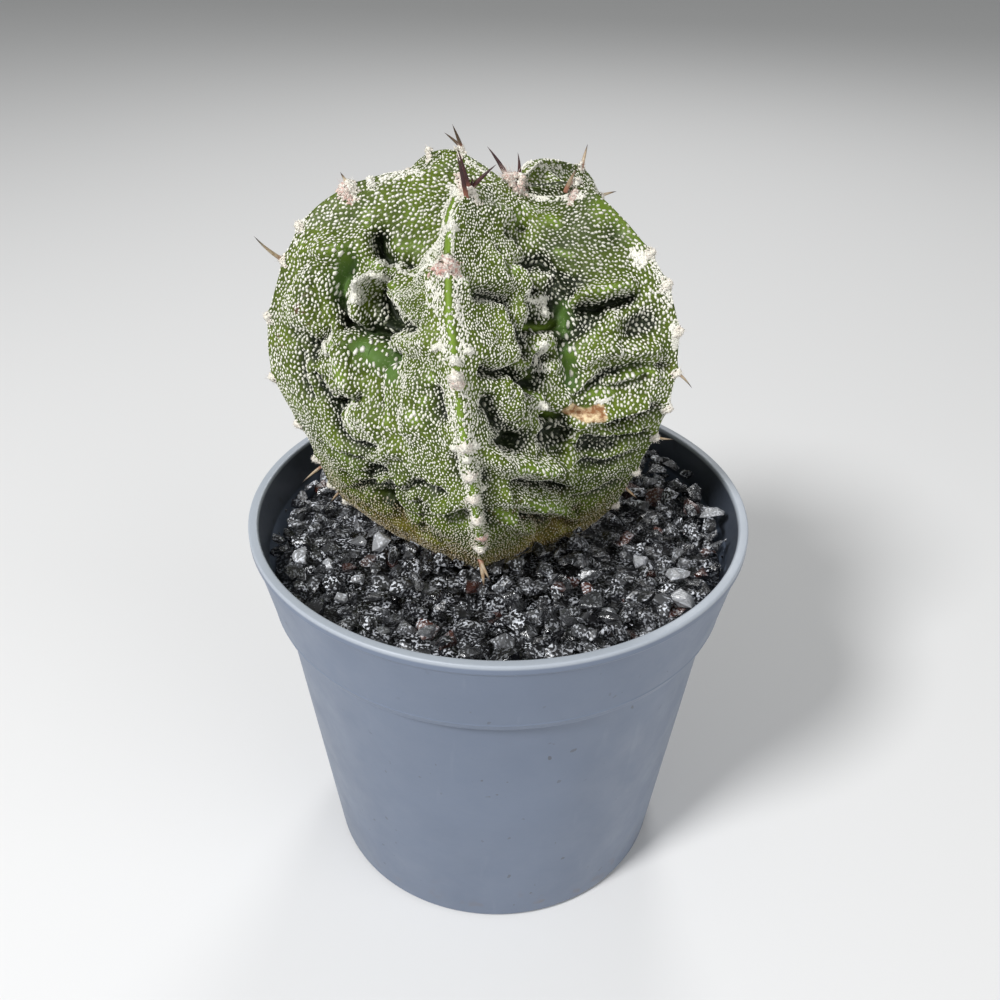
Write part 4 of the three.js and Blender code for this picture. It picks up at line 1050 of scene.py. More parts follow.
def grit_material(settings):
    """Black glassy grit with painted glints: red is the stone's lightness, green its rust, blue how rough
    it is and how many painted glints it carries.
    """
    parts = new_material("black_grit")
    _, tree, shader = parts
    tone = attribute(tree, "tone")
    drift = drifting(tree, opaque(settings.colour), linear(22, 23, 28), 900.0, 0.16)
    pale = mixed(tree, tone["Red"], drift, linear(178, 180, 184))
    rusty = mixed(tree, tone["Green"], pale, linear(104, 52, 36))
    # Painted glints: bright specks that stand in for reflections on the facets, more on stones with more
    # blue
    glint_share = ranged(tree, tone["Blue"], 0.0, 0.5, 0.15, 1.0)
    glint_mask = product(tree, specks(tree, 2300.0, 0.54, 420.0), glint_share)
    glinted = mixed(tree, glint_mask, rusty, linear(222, 226, 234))
    grain = texture(tree, object_coords(tree), 1500.0, 3.0)
    glassy = ranged(tree, grain, 0.35, 0.65, 0.05, 0.28)
    dull = product(tree, tone["Blue"], 0.3)
    shader.inputs["IOR"].default_value = 1.75
    return finished(parts, glinted, sums(tree, "ADD", glassy, dull), grain, 0.5, 0.0004)


def skin_material(settings):
    """Green skin, with painted shade in the hollows. Marks: red is relief, which sets the painted shade,
    green the bare crest, blue bare skin. Tints: foot, cork, brown.
    """
    parts = new_material("cactus_skin")
    _, tree, shader = parts
    marks = attribute(tree, "marks")
    tints = attribute(tree, "tints")
    drift = drifting(tree, opaque(settings.skin_colour), linear(96, 114, 24), 210.0, 0.2)
    # Painted shade: the green darkens towards the hollow shade colour where the relief sinks
    hollow = ranged(tree, marks["Red"], 0.48, 0.24)
    folded = mixed(tree, hollow, drift, opaque(settings.hollow_shade_colour))
    bare = mixed(tree, marks["Blue"], folded, opaque(settings.bare_colour))
    crest = mixed(tree, marks["Green"], bare, opaque(settings.crest_colour))
    foot = drifting(tree, linear(140, 128, 46), linear(108, 82, 44), 300.0, 0.15)
    footed = mixed(tree, tints["Red"], crest, foot)
    cork = drifting(tree, linear(232, 210, 170), linear(140, 96, 60), 950.0, 0.1)
    scarred = mixed(tree, tints["Green"], footed, cork)
    stains = product(tree, tints["Blue"], specks(tree, 900.0, 0.58, 150.0, 0.08))
    stained = mixed(tree, stains, scarred, linear(84, 62, 44))
    pores = product(tree, specks(tree, 2600.0, 0.62, 400.0, 0.05), 0.35)
    dotted = mixed(tree, pores, stained, linear(176, 182, 150))
    fine = texture(tree, object_coords(tree), 1400.0, 3.0)
    shader.inputs["Subsurface Weight"].default_value = 0.06
    shader.inputs["Subsurface Radius"].default_value = (0.0012, 0.0018, 0.0006)
    shader.inputs["Subsurface Scale"].default_value = 0.5
    shader.inputs["Specular IOR Level"].default_value = 0.28
    return finished(parts, dotted, ranged(tree, fine, 0.3, 0.7, 0.5, 0.68), fine, 0.35, 0.0002)


def wool_material(settings):
    """Felted white wool. Tone: red greys it, by chance and as painted shade, green yellows, blue reddens.
    """
    parts = new_material("areole_wool")
    _, tree, shader = parts
    tone = attribute(tree, "tone")
    drift = drifting(tree, opaque(settings.colour), linear(234, 232, 224), 900.0, 0.25)
    grey = mixed(tree, tone["Red"], drift, linear(150, 150, 132))
    straw = mixed(tree, tone["Green"], grey, linear(176, 150, 96))
    pink = mixed(tree, tone["Blue"], straw, linear(196, 128, 116))
    shader.inputs["Sheen Weight"].default_value = 0.25
    return finished(parts, pink, 0.9, texture(tree, object_coords(tree), 4200.0, 2.0, 0.7), 0.6, 0.0002)


def spine_material():
    """Horny spines. Tone: red is how old and pale the horn is, green darkens the tip, blue the root."""
    parts = new_material("spine")
    tree = parts[1]
    tone = attribute(tree, "tone")
    young = drifting(tree, linear(72, 34, 34), linear(44, 24, 28), 700.0, 0.2)
    old = drifting(tree, linear(196, 184, 160), linear(150, 118, 84), 900.0, 0.2)
    aged = mixed(tree, tone["Red"], young, old)
    tipped = mixed(tree, tone["Green"], aged, linear(40, 24, 22))
    rooted = mixed(tree, tone["Blue"], tipped, linear(150, 92, 72))
    fine = texture(tree, object_coords(tree), 2000.0, 2.0)
    return finished(parts, rooted, ranged(tree, fine, 0.3, 0.7, 0.35, 0.55), fine, 0.25, 0.0001)


def neck_material():
    """Corky brown root neck."""
    parts = new_material("root_neck")
    tree = parts[1]
    bark = drifting(tree, linear(150, 122, 84), linear(88, 64, 42), 380.0, 0.2)
    return finished(parts, bark, 0.85, texture(tree, object_coords(tree), 800.0, 4.0), 0.6, 0.0005)


# Settings that a user would change

class PotSettings(bpy.types.PropertyGroup):
    """The pot's look."""

    colour: bpy.props.FloatVectorProperty(
        name="Colour", description="Colour of the plastic", subtype="COLOR",
        default=linear(103, 114, 133)[:3], min=0, max=1,
    )
    roughness: bpy.props.FloatProperty(
        name="Roughness", description="How matt the plastic is", subtype="FACTOR",
        default=0.42, min=0.1, max=1,
    )
    sides: bpy.props.IntProperty(
        name="Sides", description="Steps that the wall is turned in", default=180, min=24, max=256,
    )


class GritSettings(bpy.types.PropertyGroup):
    """The grit's stones."""

    colour: bpy.props.FloatVectorProperty(
        name="Colour", description="Colour of the darkest stones", subtype="COLOR",
        default=linear(14, 14, 17)[:3], min=0, max=1,
    )
    smallest: bpy.props.FloatProperty(
        name="Smallest", description="Length of the smallest stone", unit="LENGTH", default=2.9 * MM,
    )
    largest: bpy.props.FloatProperty(
        name="Largest", description="Length of the largest stone", unit="LENGTH", default=6.4 * MM,
    )
    fines: bpy.props.IntProperty(name="Fines", description="How many small grains lie between", default=600)
    seed: bpy.props.IntProperty(name="Seed", description="Draws another heap of stones", default=5)


class SkinSettings(bpy.types.PropertyGroup):
    """The cactus's green skin."""

    skin_colour: bpy.props.FloatVectorProperty(
        name="Skin", description="Green between the flecks", subtype="COLOR",
        default=linear(52, 66, 10)[:3], min=0, max=1,
    )
    # Painted shade: the dark green that the hollows are darkened to
    hollow_shade_colour: bpy.props.FloatVectorProperty(
        name="Grooves", description="Green in the hollows", subtype="COLOR",
        default=linear(20, 29, 8)[:3], min=0, max=1,
    )
    bare_colour: bpy.props.FloatVectorProperty(
        name="Bare skin", description="Green where no flecks grow", subtype="COLOR",
        default=linear(82, 112, 50)[:3], min=0, max=1,
    )
    crest_colour: bpy.props.FloatVectorProperty(
        name="Crest line", description="Bright green along the front rib's crest", subtype="COLOR",
        default=linear(112, 138, 44)[:3], min=0, max=1,
    )


class WoolSettings(bpy.types.PropertyGroup):
    """The white flecks and the wool of the areoles."""

    colour: bpy.props.FloatVectorProperty(
        name="Colour", description="Colour of the wool", subtype="COLOR",
        default=linear(246, 244, 231)[:3], min=0, max=1,
    )
    spacing: bpy.props.FloatProperty(
        name="Spacing", description="Room between one fleck and the next", unit="LENGTH",
        default=0.475 * MM,
    )
    seed: bpy.props.IntProperty(name="Seed", description="Draws other places for the flecks", default=9)


class StageSettings(bpy.types.PropertyGroup):
    """Floor and light."""

    floor_colour: bpy.props.FloatVectorProperty(
        name="Floor", description="Colour of the floor", subtype="COLOR",
        default=linear(226, 226, 226)[:3], min=0, max=1,
    )
    sky: bpy.props.FloatProperty(
        name="Sky light", description="Strength of the even light from all round", default=0.3, min=0,
    )
    lamp: bpy.props.FloatProperty(
        name="Main lamp", description="Power of the large soft lamp", unit="POWER", default=7.2, min=0,
    )


# What one operator hands on to a later one
made = {}


# Pot

def rounded(profile, radius, steps=4):
    """The profile with each inner corner replaced by a short arc."""
    points = [np.array(profile[0], float)]
    for before, corner, after in zip(profile[:-2], profile[1:-1], profile[2:]):
        before, corner, after = (np.array(point, float) for point in (before, corner, after))
        back = before - corner
        forth = after - corner
        cut = min(radius, 0.4 * np.linalg.norm(back), 0.4 * np.linalg.norm(forth))
        start = corner + back / np.linalg.norm(back) * cut
        end = corner + forth / np.linalg.norm(forth) * cut
        for share in np.linspace(0, 1, steps + 1):
            points.append((1 - share) ** 2 * start + 2 * share * (1 - share) * corner + share**2 * end)
    points.append(np.array(profile[-1], float))
    return points


def inner_wall():
    """The pot's inside as [radius, height], from the floor up."""
    floor_top = FLOOR_UNDERSIDE + POT_WALL
    return [
        [BODY_FOOT_RADIUS - POT_WALL - POT_EDGE, floor_top],
        [BODY_FOOT_RADIUS - POT_WALL + 0.2, floor_top + POT_EDGE],
        [BODY_TOP_RADIUS - POT_WALL, COLLAR_FOOT_Z - POT_WALL],
        [COLLAR_FOOT_RADIUS - POT_WALL, COLLAR_FOOT_Z + POT_WALL / 2],
        [RIM_RADIUS - RIM_FACE - POT_EDGE / 4, POT_HEIGHT - POT_EDGE],
        [RIM_RADIUS - RIM_FACE, POT_HEIGHT],
    ]


def wall_radius(height):
    """Radius of the pot's inside at this height."""
    wall = np.array(inner_wall())
    return np.interp(height, wall[:, 1], wall[:, 0])


def pot_profile():
    """The pot's section as [radius, height], from its underside up the outside and down the inside."""
    foot = BODY_FOOT_RADIUS - POT_EDGE - FOOT_RING_WIDTH
    ring = COLLAR_FOOT_Z + COLLAR_RING
    lip = POT_HEIGHT - LIP_HEIGHT
    slope = (RIM_RADIUS - LIP_STEP - COLLAR_FOOT_RADIUS) / (lip - COLLAR_FOOT_Z)
    ring_radius = COLLAR_FOOT_RADIUS + slope * COLLAR_RING
    outer = [
        [0, FLOOR_UNDERSIDE], [foot - 1, FLOOR_UNDERSIDE], [foot, 0], [BODY_FOOT_RADIUS - POT_EDGE, 0],
        [BODY_FOOT_RADIUS, POT_EDGE], [BODY_TOP_RADIUS, COLLAR_FOOT_Z - 0.2],
        [COLLAR_FOOT_RADIUS - 0.3, COLLAR_FOOT_Z], [COLLAR_FOOT_RADIUS, COLLAR_FOOT_Z + 0.3],
        [ring_radius - 0.05, ring - 0.25], [ring_radius + 0.1, ring], [ring_radius + 0.05, ring + 0.3],
        [RIM_RADIUS - LIP_STEP, lip - LIP_STEP], [RIM_RADIUS, lip], [RIM_RADIUS, POT_HEIGHT - LIP_STEP / 2],
        [RIM_RADIUS - LIP_STEP / 2, POT_HEIGHT],
    ]
    return outer + inner_wall()[::-1] + [[0, FLOOR_UNDERSIDE + POT_WALL]]


def cut_drains(pot):
    """Takes the drain holes out of the pot's floor."""
    bm = bmesh.new()
    for i in range(-1, DRAIN_COUNT):
        angle = 2 * math.pi * i / DRAIN_COUNT
        reach = 0 if i < 0 else DRAIN_CIRCLE
        spot = Vector((reach * math.cos(angle), reach * math.sin(angle), FLOOR_UNDERSIDE + POT_WALL / 2))
        bmesh.ops.create_cone(
            bm, cap_ends=True, segments=DRAIN_SIDES, radius1=DRAIN_RADIUS * MM, radius2=DRAIN_RADIUS * MM,
            depth=4 * POT_WALL * MM, matrix=Matrix.Translation(spot * MM),
        )
    cutter = bpy.data.objects.new("drain_cutter", mesh_of(bm, "drain_cutter"))
    bpy.context.scene.collection.objects.link(cutter)
    modifier = pot.modifiers.new("drains", "BOOLEAN")
    modifier.operation = "DIFFERENCE"
    modifier.solver = "EXACT"
    modifier.object = cutter
    bpy.context.view_layer.update()
    cut = bpy.data.meshes.new_from_object(pot.evaluated_get(bpy.context.evaluated_depsgraph_get()))
    pot.modifiers.clear()
    pot.data = cut
    bpy.data.objects.remove(cutter)


class CACTUS_OT_pot(bpy.types.Operator):
    """Model the thin grey nursery pot with its collar, lip and drain holes"""

    bl_idname = "cactus.pot"
    bl_label = "Pot"

    def execute(self, context):
        settings = context.scene.cactus_pot
        profile = rounded(pot_profile(), POT_ROUNDING)
        mesh = mesh_of(spun(profile, settings.sides), "pot_shell")
        pot = new_object("pot_shell", mesh, pot_material(settings))
        cut_drains(pot)
        shade(pot.data, True)
        pot.data.set_sharp_from_angle(angle=math.radians(SHARP_ANGLE))
        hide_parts("pot")
        return {"FINISHED"}


class CACTUS_OT_soil(bpy.types.Operator):
    """Finish the potting soil under the grit"""

    bl_idname = "cactus.soil"
    bl_label = "Potting soil"

    def execute(self, context):
        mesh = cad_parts["potting_soil"].data
        mesh.materials.clear()
        mesh.materials.append(soil_material())
        return {"FINISHED"}


# Grit

def grit_level(x, y):
    """Height of the heaped grit."""
    return GRIT_LEVEL + GRIT_SLOPE * x + GRIT_MOUND * (1 - np.hypot(x, y) / RIM_RADIUS)


def broken_stone(rng, corners):
    """An angular stone with a flat face or two, about one unit across."""
    bm = bmesh.new()
    spread = unit(rng.normal(size=(corners, 3))) * rng.uniform(0.82, 1.0, (corners, 1))
    for _ in range(3):
        cut = unit(rng.normal(size=3))
        past = spread @ cut - rng.uniform(0.55, 0.75)
        spread -= np.maximum(past, 0)[:, None] * cut
    for point in spread:
        bm.verts.new(point / 2)
    bmesh.ops.convex_hull(bm, input=bm.verts)
    loose = [vert for vert in bm.verts if not vert.link_faces]
    bmesh.ops.delete(bm, geom=loose, context="VERTS")
    bmesh.ops.recalc_face_normals(bm, faces=bm.faces)
    return template_of(bm)


def settle(rng, sizes, heights, percentile, lowest, tries):
    """Drops stones one by one where the heap is lowest. Returns places, on a height map it raises."""
    grid = np.arange(-RIM_RADIUS, RIM_RADIUS, GRIT_CELL)
    placed = []
    for size in sizes:
        flat = size / 2
        options = rng.uniform(-1, 1, (tries, 2)) * (RIM_RADIUS - 2)
        inside = np.hypot(*options.T) < wall_radius(GRIT_LEVEL) - flat[:2].mean() - STONE_CLEARING
        off_plant = np.hypot(*(options - MIDDLE[-1]).T) > PLANT_CLEARING
        options = options[inside & off_plant]
        if len(options) == 0:
            continue
        cells = np.clip(((options + RIM_RADIUS) / GRIT_CELL).astype(int), 0, len(grid) - 1)
        low = heights[cells[:, 0], cells[:, 1]] - grit_level(options[:, 0], options[:, 1])
        best = low.argmin()
        if low[best] > lowest:
            continue
        x, y = options[best]
        column, row = cells[best]
        span = int(math.ceil(flat[:2].max() / GRIT_CELL))
        i0, i1 = max(column - span, 0), min(column + span + 1, len(grid))
        j0, j1 = max(row - span, 0), min(row + span + 1, len(grid))
        away_x = (grid[i0:i1] - x)[:, None] / flat[0]
        away_y = (grid[j0:j1] - y)[None, :] / flat[1]
        dome = np.sqrt(np.maximum(0, 1 - away_x**2 - away_y**2)) * flat[2]
        under = dome > 0
        if not under.any():
            continue
        part = heights[i0:i1, j0:j1]
        z = np.percentile((part + dome * 0.85)[under], percentile)
        if z - grit_level(x, y) > HEAP_RISE:
            continue
        heights[i0:i1, j0:j1] = np.where(under, np.maximum(part, z + dome * 0.8), part)
        placed.append([x, y, z, *size])
    return np.array(placed)


def stone_axes(rng, placed, tilt):
    """Random turns that keep each stone's flat side near level."""
    count = len(placed)
    lean = rng.normal(0, tilt, (count, 2))
    normals = np.stack([lean[:, 0], lean[:, 1], np.ones(count)], axis=1)
    angles = rng.uniform(0, 2 * np.pi, count)
    leads = np.stack([np.cos(angles), np.sin(angles), 0 * angles], axis=1)
    return frame_of(normals, leads) * placed[:, 3:6, None]


def keep_in(mesh):
    """Pulls points that reach past the pot's wall back inside it."""
    points = points_of(mesh)
    limit = (wall_radius(GRIT_LEVEL) - WALL_CLEARING) * MM
    reach = np.hypot(points[:, 0], points[:, 1])
    points[:, :2] *= np.minimum(1, limit / np.maximum(reach, 1e-6))[:, None]
    place_points(mesh, points)


class CACTUS_OT_grit(bpy.types.Operator):
    """Heap the black grit up around the cactus, stone by stone"""

    bl_idname = "cactus.grit"
    bl_label = "Black grit"

    def execute(self, context):
        settings = context.scene.cactus_grit
        rng = np.random.default_rng(settings.seed)
        material = grit_material(settings)
        grid = np.arange(-RIM_RADIUS, RIM_RADIUS, GRIT_CELL)
        x, y = np.meshgrid(grid, grid, indexing="ij")
        heights = grit_level(x, y) - GRIT_DEPTH
        low, high = settings.smallest / MM, settings.largest / MM
        lengths = low + (high - low) * rng.beta(1.6, 2.4, STONE_COUNT)
        widths = rng.uniform(0.6, 0.95, STONE_COUNT)
        thick = rng.uniform(0.36, 0.68, STONE_COUNT)
        sizes = lengths[:, None] * np.stack([np.ones(STONE_COUNT), widths, thick], axis=1)
        stones = settle(rng, sizes, heights, percentile=88, lowest=-0.6, tries=14)
        kinds = rng.integers(0, STONE_SHAPES, len(stones))
        templates = [broken_stone(rng, int(rng.integers(11, 17))) for _ in range(STONE_SHAPES)]
        tones = stone_tones(rng, len(stones))
        axes = stone_axes(rng, stones, 0.35)
        mesh = repeated("grit_stones", templates, kinds, stones[:, :3], axes, tones)
        keep_in(mesh)
        grit = new_object("grit_stones", mesh, material, smooth=False)
        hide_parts("grit")
        small = rng.uniform(0.5, 1.3, settings.fines)
        sizes = small[:, None] * rng.uniform(0.6, 1.0, (settings.fines, 3))
        fines = settle(rng, sizes, heights, percentile=60, lowest=0.4, tries=3)
        templates = [broken_stone(rng, 8) for _ in range(FINE_SHAPES)]
        kinds = rng.integers(0, FINE_SHAPES, len(fines))
        axes = stone_axes(rng, fines, 0.8)
        tones = stone_tones(rng, len(fines))
        mesh = repeated("grit_fines", templates, kinds, fines[:, :3], axes, tones)
        keep_in(mesh)
        new_object("grit_fines", mesh, material)
        self.make_bed(material)
        return {"FINISHED"}

    def make_bed(self, material):
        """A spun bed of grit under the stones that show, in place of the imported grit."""
        top = GRIT_LEVEL - GRIT_DEPTH + 1
        step = COLLAR_FOOT_Z + POT_WALL / 2
        low_radius, step_radius, top_radius = wall_radius([GRIT_UNDERSIDE, step, top]) - FILL_GAP
        profile = [
            [0, GRIT_UNDERSIDE], [low_radius, GRIT_UNDERSIDE], [step_radius, step], [top_radius, top - 1],
            [top_radius - 4, top], [top_radius * 0.6, top], [0, top],
        ]
        mesh = mesh_of(spun(profile, BED_SIDES), "grit_bed")
        write_colours(mesh, "tone", np.tile([0.0, 0.0, 1.0], (len(mesh.vertices), 1)))
        new_object("grit_bed", mesh, material)


def stone_tones(rng, count):
    """Lightness, rust and dullness, which also sets the share of painted glints: mostly black, some grey, a
    few silvery, rusty or pale.
    """
    draw = rng.uniform(0, 1, count)
    light = np.select([draw < step for step in TONE_STEPS], LIGHTNESS[:-1], LIGHTNESS[-1])
    light *= rng.uniform(0.5, 1.3, count)
    rust = np.where(rng.uniform(0, 1, count) < RUSTY_SHARE, rng.uniform(0.2, 0.5, count), 0)
    dull = rng.uniform(0, 1, count) ** 1.5
    return np.stack([np.clip(light, 0, 1), rust, dull], axis=1)


# Cactus

def path_mask(points, path, width):
    """1 along a path of [azimuth, fall in percent] on the plain skin, fading over the width."""
    return bell(distance_to_path(points, fold_path(path)), width)


def strongest_mask(points, rows):
    """The strongest of several path masks at each point."""
    return np.max([path_mask(points, path, width) for path, width in rows], axis=0)


def spread_columns(turn):
    """Azimuth shares: whole numbers are crests, with each flank's columns evenly between."""
    edges = np.concatenate([[0], np.cumsum(FLANK_COLUMNS)])
    return np.interp(turn * edges[-1], edges, np.arange(len(edges)))


class CACTUS_OT_skin(bpy.types.Operator):
    """Model the green body with its five ribs, its folds and its fine lumps"""

    bl_idname = "cactus.skin"
    bl_label = "Green body"

    def execute(self, context):
        bm = bmesh.new()
        columns = sum(FLANK_COLUMNS)
        bmesh.ops.create_uvsphere(bm, u_segments=columns, v_segments=SKIN_ROWS, radius=1)
        mesh = mesh_of(bm, "cactus_skin")
        sphere = points_of(mesh)
        row = np.arccos(np.clip(sphere[:, 2], -1, 1)) / np.pi
        turn = np.mod(np.arctan2(sphere[:, 0], -sphere[:, 1]) / (2 * np.pi), 1)
        turn = np.mod(np.round(turn * columns) / columns, 1)
        fall = np.interp(row, ROW_SHARES, ROW_FALLS)
        flank = spread_columns(turn)
        first = np.floor(flank).astype(int) % 5
        crests = crest_azimuths(fall)
        start = np.take_along_axis(crests, first[:, None], 1)[:, 0]
        end = np.take_along_axis(crests, (first[:, None] + 1) % 5, 1)[:, 0]
        azimuth = start + np.mod(end - start, 360) * (flank - np.floor(flank))
        points, normal, relief, to_crest = raised_skin(azimuth, fall)
        place_points(mesh, points * MM)
        skin = new_object("cactus_skin", mesh, skin_material(context.scene.cactus_skin))
        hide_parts("cactus")
        self.mark(mesh, azimuth, fall, relief, to_crest)
        made["skin"] = {
            "mesh": mesh, "place": points, "azimuth": azimuth, "fall": fall, "relief": relief,
            "to_crest": to_crest,
        }
        self.make_neck()
        return {"FINISHED"}

    def mark(self, mesh, azimuth, fall, relief, to_crest):
        """Stores where the skin is bare, sunken, corky or stained, and how deep the painted shade falls,
        for its material.
        """
        plain = plain_skin(azimuth, fall)
        crest = np.zeros(len(fall))
        for path, width in CREST_GREEN:
            crest = np.maximum(crest, fade(path_mask(plain, path, width * 1.2), 0.25, 0.6))
        for path, width, share in BRIGHT_GREEN:
            crest = np.maximum(crest, share * path_mask(plain, path, width))
        # Depth sets the painted shade: the hollows, and the upper right flank as a whole, come out darker
        depth = np.clip(0.5 + (relief - 0.75 * upper_right(azimuth, fall)) / 5, 0, 1)
        write_colours(mesh, "marks", np.stack([depth, crest, strongest_mask(plain, BARE_SKIN)], axis=1))
        ragged = 0.25 * noise(plain, 2.2, 31)
        foot = fade(fall + 0.12 * ragged, 0.68, 0.84)
        cork = fade(strongest_mask(plain, CORK) + ragged, 0.42, 0.62)
        write_colours(mesh, "tints", np.stack([foot, cork, strongest_mask(plain, STAINS)], axis=1))

    def make_neck(self):
        mesh = mesh_of(spun(NECK[::-1], NECK_SIDES), "root_neck")
        place_points(mesh, points_of(mesh) + np.array([*MIDDLE[-1], 0]) * MM)
        new_object("root_neck", mesh, neck_material())


def sampled_skin(rng, count):
    """Even random spots on the finished skin: place, normal, azimuth, fall, relief and way to the crest."""
    skin = made["skin"]
    mesh = skin["mesh"]
    mesh.calc_loop_triangles()
    corners = np.empty(len(mesh.loop_triangles) * 3, np.int32)
    mesh.loop_triangles.foreach_get("vertices", corners)
    corners = corners.reshape(-1, 3)
    a, b, c = (skin["place"][corners[:, i]] for i in range(3))
    area = np.linalg.norm(np.cross(b - a, c - a), axis=1) / 2
    normals = np.empty(len(mesh.vertices) * 3, np.float32)
    mesh.vertices.foreach_get("normal", normals)
    chosen = rng.choice(len(area), count, p=area / area.sum())
    first, second = rng.uniform(0, 1, (2, count))
    over = first + second > 1
    first[over], second[over] = 1 - first[over], 1 - second[over]
    weights = np.stack([1 - first - second, first, second], axis=1)

    def blended(values):
        return np.einsum("nk,nk...->n...", weights, values[corners[chosen]])

    spots = {name: blended(skin[name]) for name in ("place", "fall", "relief", "to_crest")}
    spots["normal"] = blended(normals.reshape(-1, 3).astype(float))
    angle = np.radians(skin["azimuth"])
    turns = blended(np.stack([np.sin(angle), np.cos(angle)], axis=1))
    spots["azimuth"] = np.degrees(np.arctan2(turns[:, 0], turns[:, 1]))
    return spots


def thinned(rng, places, spacing, keep):
    """Picks spots in random order so that each keeps its own spacing from the ones before."""
    tree = kdtree.KDTree(len(places))
    for i, place in enumerate(places):
        tree.insert(place, i)
    tree.balance()
    open_spots = keep.copy()
    picked = []
    for i in rng.permutation(len(places)):
        if not open_spots[i]:
            continue
        picked.append(i)
        for _, j, _ in tree.find_range(places[i], spacing[i]):
            open_spots[j] = False
    return np.array(picked)


def fleck_template(rng):
    """A low felted tuft with an uneven edge, its foot below the skin."""
    bm = bmesh.new()
    bmesh.ops.create_uvsphere(bm, u_segments=FLECK_SIDES, v_segments=2, radius=1)
    for vert in bm.verts:
        vert.co.x *= rng.uniform(0.8, 1.2)
        vert.co.y *= rng.uniform(0.8, 1.2)
    return template_of(bm)


def upper_right(azimuth, fall):
    """How far a spot lies on the upper flank right of the front rib."""
    return (1 - fade(fall, 0.26, 0.34)) * fade(azimuth, 30, 44) * (1 - fade(azimuth, 100, 120))


def fleck_layout(spots, base):
    """How far apart the flecks stand at each spot, and whether any grow there."""
    azimuth, fall, to_crest, relief = (spots[name] for name in ("azimuth", "fall", "to_crest", "relief"))
    _, nearest, _ = ribs_around(azimuth, fall)
    plain = plain_skin(azimuth, fall)
    spacing = np.full(len(fall), base)
    spacing *= 1 + 0.16 * noise(plain, 5, 41) + 0.1 * noise(plain, 1.8, 44)
    near_front = (nearest == 0) * (1 - fade(to_crest, 5, 12))
    spacing *= 1 - 0.2 * near_front * fade(fall, 0.14, 0.2) * (1 - fade(fall, 0.5, 0.6))
    for path, width, share in THICK_FLECKS:
        spacing *= 1 - share * path_mask(plain, path, width)
    spacing *= 1 - 0.14 * fade(fall, 0.5, 0.7)
    spacing *= 1 - 0.08 * upper_right(azimuth, fall)
    spacing *= 1 + 0.8 * fade(-relief, 1.3, 2.4)
    grows = np.ones(len(fall), bool)
    for path, width in CORK:
        grows &= path_mask(plain, path, width) + 0.15 * noise(plain, 1.5, 42) < 0.5
    for path, width in BARE_SKIN:
        bare = path_mask(plain, path, width)
        spacing *= 1 + 0.9 * bare
        grows &= bare + 0.35 * noise(plain, 1.2, 42) < 0.75
    for path, width, share in BRIGHT_GREEN:
        spacing *= 1 + 0.6 * share * path_mask(plain, path, width)
    for path, width in CREST_GREEN:
        grows &= path_mask(plain, path, width) < 0.12
    grows &= relief + 0.5 * noise(plain, 1.6, 43) > -2.1
    grows &= (fall > 0.015) & (fall < 0.86)
    return spacing, grows


def fleck_tones(rng, fall, relief, extra_shade=0.0):
    """Grey by chance, greyer still as painted shade in the hollows and by the extra shade given, straw
    towards the foot.
    """
    count = len(fall)
    grey = np.clip(rng.normal(0.06, 0.14, count) + extra_shade + 0.65 * fade(-relief, 0.7, 2.1), 0, 0.9)
    straw = np.clip(fade(fall, 0.6, 0.78) * rng.uniform(0.3, 1.0, count), 0, 1)
    return np.stack([grey, straw, np.zeros(count)], axis=1)


class CACTUS_OT_flecks(bpy.types.Operator):
    """Scatter the white woolly flecks over the skin"""

    bl_idname = "cactus.flecks"
    bl_label = "White flecks"

    def execute(self, context):
        settings = context.scene.cactus_wool
        rng = np.random.default_rng(settings.seed)
        material = wool_material(settings)
        made["wool_material"] = material
        spots = sampled_skin(rng, FLECK_SPOTS)
        spacing, grows = fleck_layout(spots, settings.spacing / MM)
        picked = thinned(rng, spots["place"], spacing, grows)
        spacing = spacing[picked]
        spots = {name: values[picked] for name, values in spots.items()}
        place, azimuth, fall = spots["place"], spots["azimuth"], spots["fall"]
        count, upper = len(picked), upper_right(azimuth, fall)
        turn = 0.8 * upper + rng.normal(0, 0.35, count)
        axes = turned(frame_of(spots["normal"], downhill(azimuth, fall)), turn)
        half = FLECK_SHARE * spacing * rng.uniform(0.65, 1.15, count)
        half *= 1 - 0.2 * fade(fall, 0.46, 0.62) - 0.1 * upper
        sizes = np.stack([half * 0.88, half * rng.uniform(1.1, 1.75, count), 0.1 + 0.14 * half], axis=1)
        axes = axes * sizes[:, :, None]
        kinds = rng.integers(0, FLECK_SHAPES, count)
        templates = [fleck_template(rng) for _ in range(FLECK_SHAPES)]
        # Painted shade: flecks in hollows and on the upper right flank are greyed
        tones = fleck_tones(rng, fall, spots["relief"], 0.34 * upper)
        sector = np.mod(azimuth - SECTOR_START, 360) // SECTOR_WIDTH
        for number, name in enumerate(SECTORS):
            part = sector == number
            mesh = repeated(f"flecks_{name}", templates, kinds[part], place[part], axes[part], tones[part])
            new_object(f"flecks_{name}", mesh, material)
        return {"FINISHED"}


def crest_line(rib, start, end, pitch, aside):
    """Spots along one rib's crest, aside of it by so many millimetres: azimuth and fall."""
    count = int((end - start) * RIB_LENGTH / pitch)
    fall = np.linspace(start, end, count)
    azimuth = crest_azimuths(fall)[:, rib]
    plain = plain_skin(azimuth, fall)
    middle = catmull(MIDDLE, fall)
    radius = np.hypot(plain[:, 0] - middle[:, 0], plain[:, 1] - middle[:, 1])
    return azimuth + np.degrees(aside / np.maximum(radius, 2)), fall


